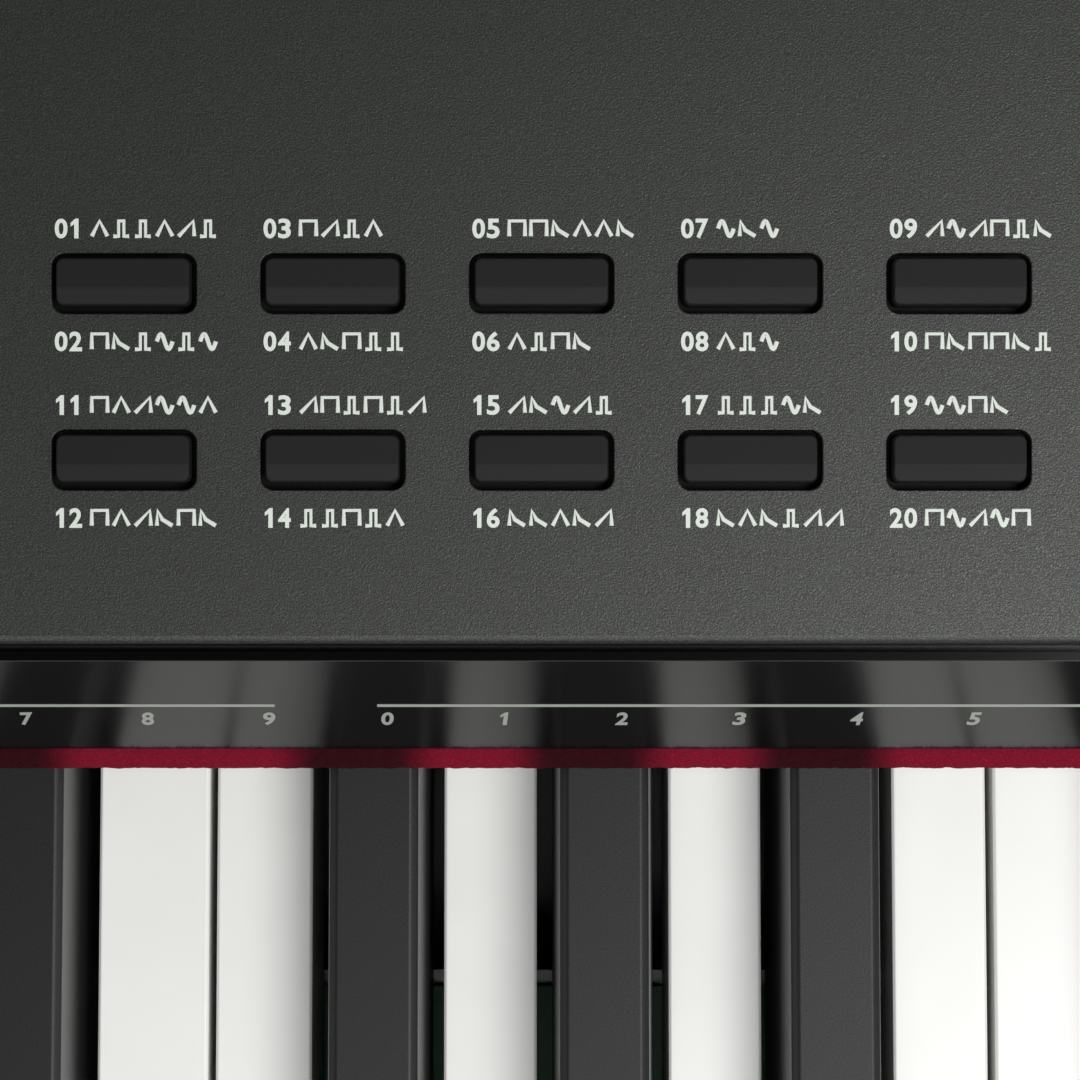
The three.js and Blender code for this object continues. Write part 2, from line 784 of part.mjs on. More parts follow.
function addTopPanel() {
  const outline = new THREE.Shape();
  outline.moveTo(0, -panelThickness);
  outline.lineTo(0, -panelEdgeRadius);
  outline.absarc(panelEdgeRadius, -panelEdgeRadius, panelEdgeRadius, Math.PI, Math.PI / 2, true);
  outline.lineTo(panelLength - panelEdgeRadius, 0);
  outline.absarc(panelLength - panelEdgeRadius, -panelEdgeRadius, panelEdgeRadius, Math.PI / 2, 0, true);
  outline.lineTo(panelLength, -panelThickness);
  const sheet = runAlongX(outline, [-pitWidth / 2, pitWidth / 2]);
  const holes = buttonPlaces().map(({ x, y }) => holeAt(
    x,
    y,
    buttonHoleWidth,
    buttonHoleDepth,
    buttonHoleRadius,
  ));
  holes.push(holeAt(powerX, powerRow, buttonHoleWidth, buttonHoleDepth, buttonHoleRadius));
  holes.push(holeAt(
    displayX,
    displayRow,
    displayWidth + 2 * sideGap,
    displayDepth + 2 * sideGap,
    displayRadius,
  ));
  holes.push(upright(
    volumeX,
    volumeRow,
    [-panelThickness - overrun, overrun],
    knobShaftDiameter / 2 + sideGap,
    knobShaftDiameter / 2 + sideGap,
    bossSides,
  ));
  const bosses = bossPlaces().map(({ x, y }) => upright(
    x,
    y,
    [-buttonBoardDrop + sideGap, -panelEdgeRadius],
    bossDiameter / 2,
    bossDiameter / 2,
    bossSides,
  ));
  addPiece(panelGroup, 'top_panel', cutBy(joined([sheet, ...bosses]), holes), finishes.panelPaint);
}

// Push button: a creased cap, a skirt that keeps it under the panel, and a stem
function buttonSolid() {
  const baseWidth = buttonHoleWidth - 2 * buttonSideClearance;
  const baseDepth = buttonHoleDepth - 2 * buttonEndClearance;
  const radius = buttonHoleRadius - buttonSideClearance;
  const skirtTop = -panelThickness - sideGap;
  const skirtFoot = skirtTop - buttonSkirtThickness;
  const capTop = buttonCrest;
  const cap = taperedPlate(baseWidth, baseDepth, radius, [0, capTop], buttonTopInset);
  const neck = raised(roundedRectangle(baseWidth, baseDepth, radius), [skirtTop, 0]);
  const half = baseDepth / 2 + overrun;
  const crestY = baseDepth / 2 - buttonCrestShare * baseDepth;
  const facets = runAlongX(outlineThrough([
    [-half, skirtTop],
    [half, skirtTop],
    [half, buttonRearHeight],
    [crestY, buttonCrest],
    [-half, buttonFrontHeight],
  ]), [-baseWidth, baseWidth]);
  const skirtWidth = buttonHoleWidth / 2 + buttonSkirtReach;
  const skirtDepth = buttonHoleDepth / 2 + buttonSkirtReach;
  const skirt = block([-skirtWidth, skirtWidth], [-skirtDepth, skirtDepth], [skirtFoot, skirtTop]);
  const stem = block(
    [-buttonStemWidth / 2, buttonStemWidth / 2],
    [-buttonStemWidth / 2, buttonStemWidth / 2],
    [skirtFoot - buttonStemLength, skirtFoot],
  );
  return joined([joined([cap, neck]).intersect(facets), skirt, stem]);
}

function addButtons() {
  const button = buttonSolid();
  buttonPlaces().forEach(({ x, y, name }) => {
    addPiece(panelGroup, name, button, finishes.buttonRubber).position.set(x, y, 0);
  });
  addPiece(panelGroup, 'power_button', button, finishes.buttonRubber).position.set(powerX, powerRow, 0);
}

function addButtonBoard() {
  const places = buttonPlaces();
  const xs = places.map(({ x }) => x);
  const ys = places.map(({ y }) => y);
  const top = -buttonBoardDrop;
  const plate = block(
    [Math.min(...xs) - buttonPitch / 2 - boardMargin, Math.max(...xs) + buttonPitch / 2 + boardMargin],
    [Math.min(...ys) - boardMargin, Math.max(...ys) + boardMargin],
    [top - circuitThickness, top],
  );
  const half = switchWidth / 2;
  const switches = places.map(({ x, y }) => block(
    [x - half, x + half],
    [y - half, y + half],
    [top - circuitThickness / 2, top + switchHeight],
  ));
  addPiece(panelGroup, 'button_board', joined([plate, ...switches]), finishes.circuitBoard);
}

function addDisplay() {
  const pane = raised(
    roundedRectangle(displayWidth, displayDepth, displayRadius),
    [-windowSink - windowThickness, -windowSink],
  ).translate([displayX, displayRow, 0]);
  addPiece(panelGroup, 'display_window', pane, finishes.displayPane);

  const halfWidth = displayWidth / 2 + moduleMargin;
  const halfDepth = displayDepth / 2 + moduleMargin;
  const moduleTop = -panelThickness - sideGap;
  const cell = block(
    [displayX - halfWidth, displayX + halfWidth],
    [displayRow - halfDepth, displayRow + halfDepth],
    [moduleTop - moduleHeight, moduleTop],
  );
  addPiece(panelGroup, 'display_module', cell, finishes.displayCell);
}

function addVolumeKnob() {
  const radius = knobDiameter / 2;
  const cap = upright(0, 0, [sideGap, sideGap + knobHeight], radius, radius - knobTaper, knobSides);
  const shaft = upright(
    0,
    0,
    [-knobShaftLength, sideGap + overrun],
    knobShaftDiameter / 2,
    knobShaftDiameter / 2,
    bossSides,
  );
  const knob = addPiece(panelGroup, 'volume_knob', joined([cap, shaft]), finishes.buttonRubber);
  knob.position.set(volumeX, volumeRow, 0);
}

// Key frame: a base with a stop rail, a contact rail and the rail that the keys turn on
function dipAt(y) {
  return keyDip * (pivotY - y) / (pivotY - keyFrontY);
}

function contactRailTop() {
  const frontEdge = keyFrontY + contactRailInset;
  return whiteBottomHeight - dipAt(frontEdge) - seatGap - circuitThickness - seatGap;
}

function addKeyFrame() {
  const foot = boardTopHeight + seatGap;
  const baseTop = foot + frameBase;
  const across = [-pitWidth / 2, pitWidth / 2];
  const stopTop = stopFeltTop - stopFeltThickness - seatGap;
  const stopFront = keyFrontY + stopRailInset;
  const contactFront = keyFrontY + contactRailInset;
  const contactTop = contactRailTop();
  const base = block(across, [keyFrontY + frameFrontInset, pivotY + frameRearReach], [foot, baseTop]);
  const stopShelf = block(across, [stopFront, stopFront + stopRailDepth], [stopTop - frameShelf, stopTop]);
  const stopWeb = block(
    across,
    [stopFront + (stopRailDepth - frameWeb) / 2, stopFront + (stopRailDepth + frameWeb) / 2],
    [foot, stopTop - frameShelf / 2],
  );
  const contactShelf = block(
    across,
    [contactFront, contactFront + contactRailDepth],
    [contactTop - frameShelf, contactTop],
  );
  const contactWeb = block(
    across,
    [
      contactFront + (contactRailDepth - frameWeb) / 2,
      contactFront + (contactRailDepth + frameWeb) / 2,
    ],
    [foot, contactTop - frameShelf / 2],
  );
  const pivotRail = block(
    across,
    [pivotY - pivotRailWidth / 2, pivotY + pivotRailWidth / 2],
    [foot, whiteBottomHeight - seatGap],
  );
  const frame = joined([base, stopShelf, stopWeb, contactShelf, contactWeb, pivotRail]);
  addPiece(piano, 'key_frame', frame, finishes.frameSteel);

  const felt = block(across, [stopFront, stopFront + stopRailDepth], [stopTop + seatGap, stopFeltTop]);
  addPiece(piano, 'key_stop_felt', felt, finishes.greyFelt);

  const boardFoot = contactTop + seatGap;
  const contactBoard = block(
    across,
    [contactFront + contactBoardInset, contactFront + contactRailDepth - contactBoardInset],
    [boardFoot, boardFoot + circuitThickness],
  );
  addPiece(piano, 'contact_board', contactBoard, finishes.circuitBoard);
}

function addMainBoard() {
  const x0 = mainBoardX - mainBoardWidth / 2;
  const x1 = mainBoardX + mainBoardWidth / 2;
  const y0 = pivotY + frameRearReach + mainBoardFrontGap;
  const y1 = rearInnerY - mainBoardRearGap;
  const foot = boardTopHeight + seatGap;
  const plateFoot = foot + standoffHeight;
  const plate = block([x0, x1], [y0, y1], [plateFoot, plateFoot + circuitThickness]);
  const radius = standoffDiameter / 2;
  const posts = [];
  [x0 + standoffInset, x1 - standoffInset].forEach((x) => {
    [y0 + standoffInset, y1 - standoffInset].forEach((y) => {
      posts.push(upright(x, y, [foot, plateFoot + circuitThickness / 2], radius, radius, bossSides));
    });
  });
  addPiece(piano, 'main_board', joined([plate, ...posts]), finishes.circuitBoard);
}

addFeet();
addBottomBoard();
addKeySlip();
addCheeks();
addRearPanel();
addJacks();
addPowerInlet();
addDataSocket();
addKeyStrip();
addKeyFrame();
addMainBoard();
addTopPanel();
addButtonBoard();
addButtons();
addDisplay();
addVolumeKnob();
addSingleKeys();
keySets.forEach(addKeySet);

export default piano;
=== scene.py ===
import json
import math
import random

import bmesh
import bpy
from mathutils import Matrix, Vector

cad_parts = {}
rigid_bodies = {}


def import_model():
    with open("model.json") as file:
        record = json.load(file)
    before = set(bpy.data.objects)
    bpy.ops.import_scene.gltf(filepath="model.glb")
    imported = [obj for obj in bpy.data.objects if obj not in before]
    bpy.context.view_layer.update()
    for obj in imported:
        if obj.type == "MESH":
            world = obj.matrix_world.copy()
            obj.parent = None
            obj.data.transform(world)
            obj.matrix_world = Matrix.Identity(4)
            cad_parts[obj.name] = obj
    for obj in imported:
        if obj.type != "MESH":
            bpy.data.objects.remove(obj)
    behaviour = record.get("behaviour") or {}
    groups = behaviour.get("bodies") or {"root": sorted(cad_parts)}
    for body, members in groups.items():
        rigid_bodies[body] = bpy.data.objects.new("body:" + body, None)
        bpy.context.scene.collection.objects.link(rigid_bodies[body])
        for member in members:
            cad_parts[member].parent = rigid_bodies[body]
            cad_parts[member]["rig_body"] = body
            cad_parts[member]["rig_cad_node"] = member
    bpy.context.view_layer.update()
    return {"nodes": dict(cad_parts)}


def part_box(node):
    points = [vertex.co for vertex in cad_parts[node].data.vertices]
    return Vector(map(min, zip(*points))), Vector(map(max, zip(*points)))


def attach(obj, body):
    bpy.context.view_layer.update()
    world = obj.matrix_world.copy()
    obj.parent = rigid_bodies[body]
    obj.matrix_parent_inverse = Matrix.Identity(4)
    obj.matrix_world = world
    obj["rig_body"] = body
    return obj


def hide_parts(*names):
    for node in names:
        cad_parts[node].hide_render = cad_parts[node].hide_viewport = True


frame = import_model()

MM = 0.001

# Camera
# A long macro lens looks straight down on the control panel from a third of a metre.
# The panel rises a little to the back, so the camera leans by the same angle.
PANEL_SLOPE = math.radians(4.4)
PANEL_EDGE = Vector((0, 16.656 * MM, 114.9 * MM))      # front upper edge of the panel
# places on the panel are given in its own plane, from that edge, and are then leant back
PANEL_PLANE = Matrix.Translation(PANEL_EDGE) @ Matrix.Rotation(PANEL_SLOPE, 4, "X")
VIEW_X = 39.55 * MM
VIEW_ALONG = 11.6 * MM
VIEW_DISTANCE = 367 * MM
LENS = 110.07
SENSOR = 36
NEAREST_SEEN = 10 * MM

bpy.ops.object.camera_add(
    location=PANEL_PLANE @ Vector((VIEW_X, VIEW_ALONG, VIEW_DISTANCE)),
    rotation=(PANEL_SLOPE, 0, 0),
)
camera = bpy.context.object
camera.data.lens = LENS
camera.data.sensor_width = SENSOR
camera.data.clip_start = NEAREST_SEEN
bpy.context.scene.camera = camera


# Feet
# Four round feet of moulded rubber, a little narrower at the floor. Each has a dished middle,
# where a screw holds it to the bottom board.
def linear(hex_colour):
    """An sRGB hex colour as the linear red, green, blue and alpha that Blender takes."""
    parts = [int(hex_colour[i:i + 2], 16) / 255 for i in (1, 3, 5)]
    light = [c / 12.92 if c <= 0.04045 else ((c + 0.055) / 1.055) ** 2.4 for c in parts]
    return light + [1]


def add_node(owner, kind, settings=None, **inputs):
    """Adds a node. A setting is a property; an input is a value, or a socket to link from.

    An input is named by its socket, or i and its number where several sockets share a name.
    """
    node = owner.node_tree.nodes.new(kind)
    for key, value in (settings or {}).items():
        setattr(node, key, value)
    for key, value in inputs.items():
        place = int(key[1:]) if key[0] == "i" and key[1:].isdigit() else key.replace("_", " ")
        if isinstance(value, bpy.types.NodeSocket):
            owner.node_tree.links.new(value, node.inputs[place])
        else:
            node.inputs[place].default_value = value
    return node


def new_material(name, colour, roughness, metallic=0, ior=1.5):
    """A material with a principled shader, ready for the pattern that each section adds."""
    material = bpy.data.materials.new(name)
    material.use_nodes = True
    shader = material.node_tree.nodes["Principled BSDF"]
    shader.inputs["Base Color"].default_value = linear(colour)
    shader.inputs["Roughness"].default_value = roughness
    shader.inputs["Metallic"].default_value = metallic
    if not metallic:
        shader.inputs["IOR"].default_value = ior
    return material, shader


def grain(material, shader, size, depth, stretch=(1, 1, 1), detail=2):
    """Fine relief of a surface: size is the width of one grain, depth its height."""
    place = add_node(material, "ShaderNodeTexCoord")
    turned = add_node(material, "ShaderNodeMapping", Vector=place.outputs["Object"], Scale=stretch)
    noise = add_node(
        material, "ShaderNodeTexNoise", Vector=turned.outputs[0], Scale=1 / size, Detail=detail,
    )
    bump = add_node(
        material, "ShaderNodeBump", Height=noise.outputs[0], Distance=depth, Strength=1,
    )
    material.node_tree.links.new(bump.outputs[0], shader.inputs["Normal"])
    return noise


def vary(material, shader, socket, factor, low, high):
    """Runs a shader's colour or roughness between two values by a pattern."""
    if socket == "Base Color":
        mix = add_node(
            material, "ShaderNodeMix", {"data_type": "RGBA"},
            i0=factor, i6=linear(low), i7=linear(high),
        )
        material.node_tree.links.new(mix.outputs[2], shader.inputs[socket])
    else:
        spread = add_node(material, "ShaderNodeMapRange", Value=factor, To_Min=low, To_Max=high)
        material.node_tree.links.new(spread.outputs[0], shader.inputs[socket])


def block(name, low, high):
    """A box between two corners, with its place in its mesh."""
    bpy.ops.object.select_all(action="DESELECT")
    bpy.ops.mesh.primitive_cube_add(
        size=1,
        location=[(a + b) / 2 for a, b in zip(low, high)],
        scale=[b - a for a, b in zip(low, high)],
    )
    piece = bpy.context.object
    piece.name = name
    bpy.ops.object.transform_apply(location=True, rotation=True, scale=True)
    return piece


def drum(name, centre, radius, low, high, sides=48, axis="Z"):
    """A round bar along Z or Y between two levels."""
    bpy.ops.object.select_all(action="DESELECT")
    middle = (low + high) / 2
    along_z = axis == "Z"
    bpy.ops.mesh.primitive_cylinder_add(
        vertices=sides,
        radius=radius,
        depth=high - low,
        location=(centre[0], centre[1], middle) if along_z else (centre[0], middle, centre[1]),
        rotation=(0, 0, 0) if along_z else (math.pi / 2, 0, 0),
    )
    piece = bpy.context.object
    piece.name = name
    bpy.ops.object.transform_apply(location=True, rotation=True, scale=True)
    return piece


def edit(piece):
    """Opens one piece in edit mode with nothing else selected."""
    bpy.ops.object.select_all(action="DESELECT")
    piece.select_set(True)
    bpy.context.view_layer.objects.active = piece
    bpy.ops.object.mode_set(mode="EDIT")


def pick(piece, kind, chosen):
    """Selects the vertices, edges or faces of the open piece that the rule holds for."""
    mesh = bmesh.from_edit_mesh(piece.data)
    for element in (*mesh.faces, *mesh.edges, *mesh.verts):
        element.select_set(False)
    for element in getattr(mesh, kind):
        if chosen(element):
            element.select_set(True)
    bmesh.update_edit_mesh(piece.data)


def middle_of(element):
    """The mean place of an edge's or a face's corners."""
    return sum((v.co for v in element.verts), Vector()) / len(element.verts)


def close():
    """Leaves edit mode."""
    bpy.ops.object.mode_set(mode="OBJECT")


def modify(piece, name, kind, **settings):
    """Adds a modifier and applies it."""
    bpy.ops.object.select_all(action="DESELECT")
    piece.select_set(True)
    bpy.context.view_layer.objects.active = piece
    modifier = piece.modifiers.new(name, kind)
    for key, value in settings.items():
        setattr(modifier, key, value)
    bpy.ops.object.modifier_apply(modifier=modifier.name)


def soften(piece, width, segments=3, angle=35):
    """Rounds the sharp edges as a mould does, and shades the flats flat."""
    bpy.ops.object.select_all(action="DESELECT")
    piece.select_set(True)
    bpy.context.view_layer.objects.active = piece
    bpy.ops.object.shade_smooth()
    modify(
        piece, "rounded edges", "BEVEL", width=width, segments=segments, limit_method="ANGLE",
        angle_limit=math.radians(angle), use_clamp_overlap=True,
    )
    modify(piece, "flat faces", "WEIGHTED_NORMAL", weight=100, thresh=0, keep_sharp=True)


def union(pieces, name):
    """Joins pieces into one object."""
    bpy.ops.object.select_all(action="DESELECT")
    for piece in pieces:
        piece.select_set(True)
    bpy.context.view_layer.objects.active = pieces[0]
    if len(pieces) > 1:
        bpy.ops.object.join()
    pieces[0].name = name
    return pieces[0]


def carve(piece, cutters):
    """Cuts the shapes of the cutters out of a piece, and removes the cutters."""
    tool = union(cutters, "cutter")
    modify(piece, "cut", "BOOLEAN", operation="DIFFERENCE", object=tool, solver="EXACT")
    bpy.data.objects.remove(tool)


def paint(piece, material):
    """Gives the whole piece one material."""
    piece.data.materials.clear()
    piece.data.materials.append(material)


# moulded rubber: dull, dark, with a fine eroded grain from the mould
foot_rubber, shader = new_material("moulded_foot_rubber", "#161616", 0.85)
noise = grain(foot_rubber, shader, size=0.5 * MM, depth=0.06 * MM)
vary(foot_rubber, shader, "Base Color", noise.outputs[0], "#101010", "#222120")

# black zinc plated steel: a dark metal with a slightly mottled sheen
screw_steel, shader = new_material("black_zinc_screw_steel", "#4a4a4c", 0.35, metallic=1)
noise = grain(screw_steel, shader, size=0.4 * MM, depth=0.01 * MM)
vary(screw_steel, shader, "Roughness", noise.outputs[0], 0.28, 0.5)

CORNERS = ("front_left", "front_right", "rear_left", "rear_right")
FOOT_NARROWING = 0.87
FOOT_RIM = 5 * MM
FOOT_DISH = 3 * MM
DISH_NARROWING = 0.85
FOOT_EDGE = 0.6 * MM
for corner in CORNERS:
    low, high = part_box(f"{corner}_foot")
    centre = ((low.x + high.x) / 2, (low.y + high.y) / 2)
    foot = drum(f"{corner}_rubber_foot", centre, (high.x - low.x) / 2, low.z, high.z, sides=64)
    edit(foot)
    pick(foot, "faces", lambda face: face.normal.z < -0.9)
    bpy.ops.transform.resize(
        value=(FOOT_NARROWING, FOOT_NARROWING, 1), center_override=(*centre, low.z),
    )
    bpy.ops.mesh.inset(thickness=FOOT_RIM)
    bpy.ops.mesh.extrude_region_move(TRANSFORM_OT_translate={"value": (0, 0, FOOT_DISH)})
    bpy.ops.transform.resize(
        value=(DISH_NARROWING, DISH_NARROWING, 1), center_override=(*centre, low.z),
    )
    close()
    soften(foot, FOOT_EDGE, angle=25)
    paint(foot, foot_rubber)
    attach(foot, "case")
    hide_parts(f"{corner}_foot")


# Bottom board
# Fibre board painted black, cut square and screwed up into the cheeks and the key frame by
# ten pan head screws. One more stands in the dish of each foot.
BOARD_EDGE = 0.8 * MM
SCREW_SIDE = 25 * MM
HEAD_RADIUS = 3 * MM
HEAD_HEIGHT = 1.6 * MM
HEAD_CROWN = 0.6 * MM
RECESS_LENGTH = 1.7 * MM
RECESS_WIDTH = 0.35 * MM
RECESS_DEPTH = 1.1 * MM

# matt paint on fibre board: near black, with faint long clouds where the board drinks it in
board_paint, shader = new_material("black_painted_fibre_board", "#1b1a19", 0.7)
noise = grain(board_paint, shader, size=1.6 * MM, depth=0.05 * MM, stretch=(1, 2.5, 1), detail=4)
vary(board_paint, shader, "Base Color", noise.outputs[0], "#151413", "#26241f")

low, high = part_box("bottom_board")
board = block("painted_bottom_board", low, high)
soften(board, BOARD_EDGE)
paint(board, board_paint)
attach(board, "case")
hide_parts("bottom_board")


def screw(name, centre, level, axis="Z", out=-1):
    """A pan head screw with a cross recess, its head standing out of a face."""
    face = level + out * HEAD_HEIGHT
    head = drum(name, centre, HEAD_RADIUS, *sorted((level, face)), sides=24, axis=axis)
    edit(head)
    index = 2 if axis == "Z" else 1
    pick(head, "faces", lambda side: side.normal[index] * out > 0.9)
    bpy.ops.mesh.bevel(offset=HEAD_CROWN, segments=3)
    close()
    reach = sorted((face - out * RECESS_DEPTH, face + out * MM))
    arms = []
    for long, short in ((RECESS_LENGTH, RECESS_WIDTH), (RECESS_WIDTH, RECESS_LENGTH)):
        if axis == "Z":
            corners = (
                (centre[0] - long, centre[1] - short, reach[0]),
                (centre[0] + long, centre[1] + short, reach[1]),
            )
        else:
            corners = (
                (centre[0] - long, reach[0], centre[1] - short),
                (centre[0] + long, reach[1], centre[1] + short),
            )
        arms.append(block("recess", *corners))
    for arm in arms:
        modify(head, "cut", "BOOLEAN", operation="DIFFERENCE", object=arm, solver="EXACT")
        bpy.data.objects.remove(arm)
    return head


heads = []
for x in (low.x + SCREW_SIDE, low.x / 2, 0, high.x / 2, high.x - SCREW_SIDE):
    for y in (low.y + SCREW_SIDE, high.y - SCREW_SIDE):
        heads.append(screw("board_screw", (x, y), low.z))
for corner in CORNERS:
    foot_low, foot_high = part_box(f"{corner}_foot")
    middle = (foot_low + foot_high) / 2
    heads.append(screw("foot_screw", (middle.x, middle.y), foot_low.z + FOOT_DISH))
screws = union(heads, "bottom_board_screws")
paint(screws, screw_steel)
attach(screws, "case")


# Parts inside
# The folded key frame, the felt that stops the keys, the circuit boards and the display's
# module are closed in by the casing. They keep their shape from the frame.

# zinc plated sheet steel: a pale metal with the broad crystal clouds of the plating
frame_zinc, shader = new_material("zinc_plated_sheet_steel", "#9a9c9d", 0.42, metallic=1)
noise = grain(frame_zinc, shader, size=3 * MM, depth=0.01 * MM, detail=5)
vary(frame_zinc, shader, "Roughness", noise.outputs[0], 0.3, 0.55)

# pressed wool felt: matt grey, mottled by its fibres of several shades
grey_felt, shader = new_material("pressed_grey_felt", "#777672", 0.95)
noise = grain(grey_felt, shader, size=0.35 * MM, depth=0.15 * MM, detail=5)
vary(grey_felt, shader, "Base Color", noise.outputs[0], "#5f5e5b", "#8b8a86")

# solder mask over glass laminate: glossy green, mottled by the weave below
board_green, shader = new_material("green_solder_mask_on_glass_laminate", "#1f5a35", 0.35)
noise = grain(board_green, shader, size=1.2 * MM, depth=0.02 * MM, detail=3)
vary(board_green, shader, "Base Color", noise.outputs[0], "#174a2b", "#2a6a41")

# tinned sheet round the display's module: dull grey with a green cast
module_grey, shader = new_material("display_module_in_tinned_frame", "#6d7468", 0.4)
noise = grain(module_grey, shader, size=0.8 * MM, depth=0.02 * MM)
vary(module_grey, shader, "Base Color", noise.outputs[0], "#5f665b", "#7b8276")

for node, material in (
    ("key_frame", frame_zinc),
    ("key_stop_felt", grey_felt),
    ("contact_board", board_green),
    ("main_board", board_green),
    ("button_board", board_green),
    ("display_module", module_grey),
):
    frame["nodes"][node].material_slots[0].material = material


# White keys
# Moulded shells of polished off-white plastic. Each front lip stands out over the front wall.
# Keys outside the middle are moulded in sets on one rear rail.
WHITE_PITCH = 23.5 * MM
KEY_GAP = 0.9 * MM
HEAD_LENGTH = 51 * MM
LIP_REACH = 1.0 * MM
LIP_HEIGHT = 4.5 * MM
TAIL_BEHIND_PIVOT = 2 * MM
RAIL_SIZE = 6 * MM
SLOT_WIDTH = 15.9 * MM
# from A on: how far a black key stands off the line between its white keys, in key widths
BLACK_SHIFT_SHARES = (0.158, None, -0.074, 0.074, None, -0.149, 0.005)
WHITE_KEYS = 52
key_low, key_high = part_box("key_e4")
KEYBOARD_LEFT = -WHITE_PITCH * WHITE_KEYS / 2
KEY_FRONT = key_low.y
KEY_FOOT = key_low.z
KEY_TOP = key_high.z
KEY_REAR = key_high.y
RAIL_REACH = 8 * MM
TAIL_END = KEY_REAR - RAIL_REACH
KEY_EDGE = 0.45 * MM


def line_x(line):
    """The line at the left of a white key, counted from 0 at the left end."""
    return KEYBOARD_LEFT + line * WHITE_PITCH


def black_centre(line):
    """Where the black key on the line after a white key stands, or None."""
    share = BLACK_SHIFT_SHARES[line % len(BLACK_SHIFT_SHARES)]
    if share is None or not 0 <= line < WHITE_KEYS - 1:
        return None
    return line_x(line + 1) + share * WHITE_PITCH


def white_key(white):
    """The shell of one white key and the heel that joins it to the rail."""
    left = line_x(white) + KEY_GAP / 2
    right = line_x(white + 1) - KEY_GAP / 2
    black_left, black_right = black_centre(white - 1), black_centre(white)
    tail_left = left if black_left is None else black_left + SLOT_WIDTH / 2
    tail_right = right if black_right is None else black_right - SLOT_WIDTH / 2
    shoulder = KEY_FRONT + HEAD_LENGTH
    key = block("key", (left, KEY_FRONT + LIP_REACH, KEY_FOOT), (right, shoulder, KEY_TOP))
    edit(key)
    # the head is split in line with the tail's sides, and only its middle runs on to the rear
    for x in (tail_left, tail_right):
        if left < x < right:
            bpy.ops.mesh.select_all(action="SELECT")
            bpy.ops.mesh.bisect(plane_co=(x, 0, 0), plane_no=(1, 0, 0))
    pick(
        key, "faces",
        lambda face: face.normal.y > 0.9 and tail_left < middle_of(face).x < tail_right,
    )
    bpy.ops.mesh.extrude_region_move(TRANSFORM_OT_translate={"value": (0, TAIL_END - shoulder, 0)})
    lip_level = KEY_TOP - LIP_HEIGHT
    bpy.ops.mesh.select_all(action="SELECT")
    bpy.ops.mesh.bisect(plane_co=(0, 0, lip_level), plane_no=(0, 0, 1))
    pick(key, "faces", lambda face: face.normal.y < -0.9 and middle_of(face).z > lip_level)
    bpy.ops.mesh.extrude_region_move(TRANSFORM_OT_translate={"value": (0, -LIP_REACH, 0)})
    close()
    heel = block(
        "heel",
        (tail_left, TAIL_END - TAIL_BEHIND_PIVOT, KEY_FOOT),
        (tail_right, KEY_REAR, KEY_FOOT + RAIL_SIZE),
    )
    return [key, heel]


# polished off-white plastic: a soft gloss, with faint clouding from handling
key_white, shader = new_material("polished_white_key_plastic", "#ebebe8", 0.3)
noise = grain(key_white, shader, size=14 * MM, depth=0.02 * MM, detail=3)
vary(key_white, shader, "Roughness", noise.outputs[0], 0.24, 0.38)
vary(key_white, shader, "Base Color", noise.outputs[0], "#e3e3e0", "#ebebe8")

# white keys are counted from 0 at the left end, so the D above middle C is number 24
for white, name in zip(range(24, 31), ("d4", "e4", "f4", "g4", "a4", "b4", "c5")):
    key = union(white_key(white), f"white_key_{name}")
    soften(key, KEY_EDGE)
    paint(key, key_white)
    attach(key, f"key_{name}")
    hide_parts(f"key_{name}")

# name, first and last white key, first and last line that a black key stands on
SETS = (
    ("first", 0, 7, 0, 7),
    ("second", 8, 15, 8, 15),
    ("third", 16, 23, 16, 23),
    ("fourth", 31, 36, 30, 36),
    ("fifth", 37, 43, 37, 43),
    ("sixth", 44, 51, 44, 50),
)
for name, first, last, _, _ in SETS:
    node = f"white_keys_{name}_set"
    parts = [part for white in range(first, last + 1) for part in white_key(white)]
    parts.append(block(
        "rail",
        (line_x(first) + KEY_GAP, KEY_REAR - RAIL_SIZE, KEY_FOOT),
        (line_x(last + 1) - KEY_GAP, KEY_REAR, KEY_FOOT + RAIL_SIZE),
    ))
    key_set = union(parts, f"white_keys_{name}")
    soften(key_set, KEY_EDGE)
    paint(key_set, key_white)
    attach(key_set, node)
    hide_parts(node)


# Black keys
# Tapered caps of satin black plastic with well rounded upper edges and a raked front. Each
# cap ends under the felt, and its lower body runs on to the rail.
BLACK_BASE = 12 * MM
BLACK_TOP = 10.4 * MM
BLACK_RAKE = 4.5 * MM
BLACK_NECK = 8 * MM
BLACK_RAIL_LIFT = 10 * MM
CAP_HIDDEN = 14 * MM
SHELF_DROP = 1 * MM
BLACK_EDGE = 1.1 * MM
FELT_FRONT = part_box("felt_strip")[0].y
black_low, black_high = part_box("key_f_sharp_4")


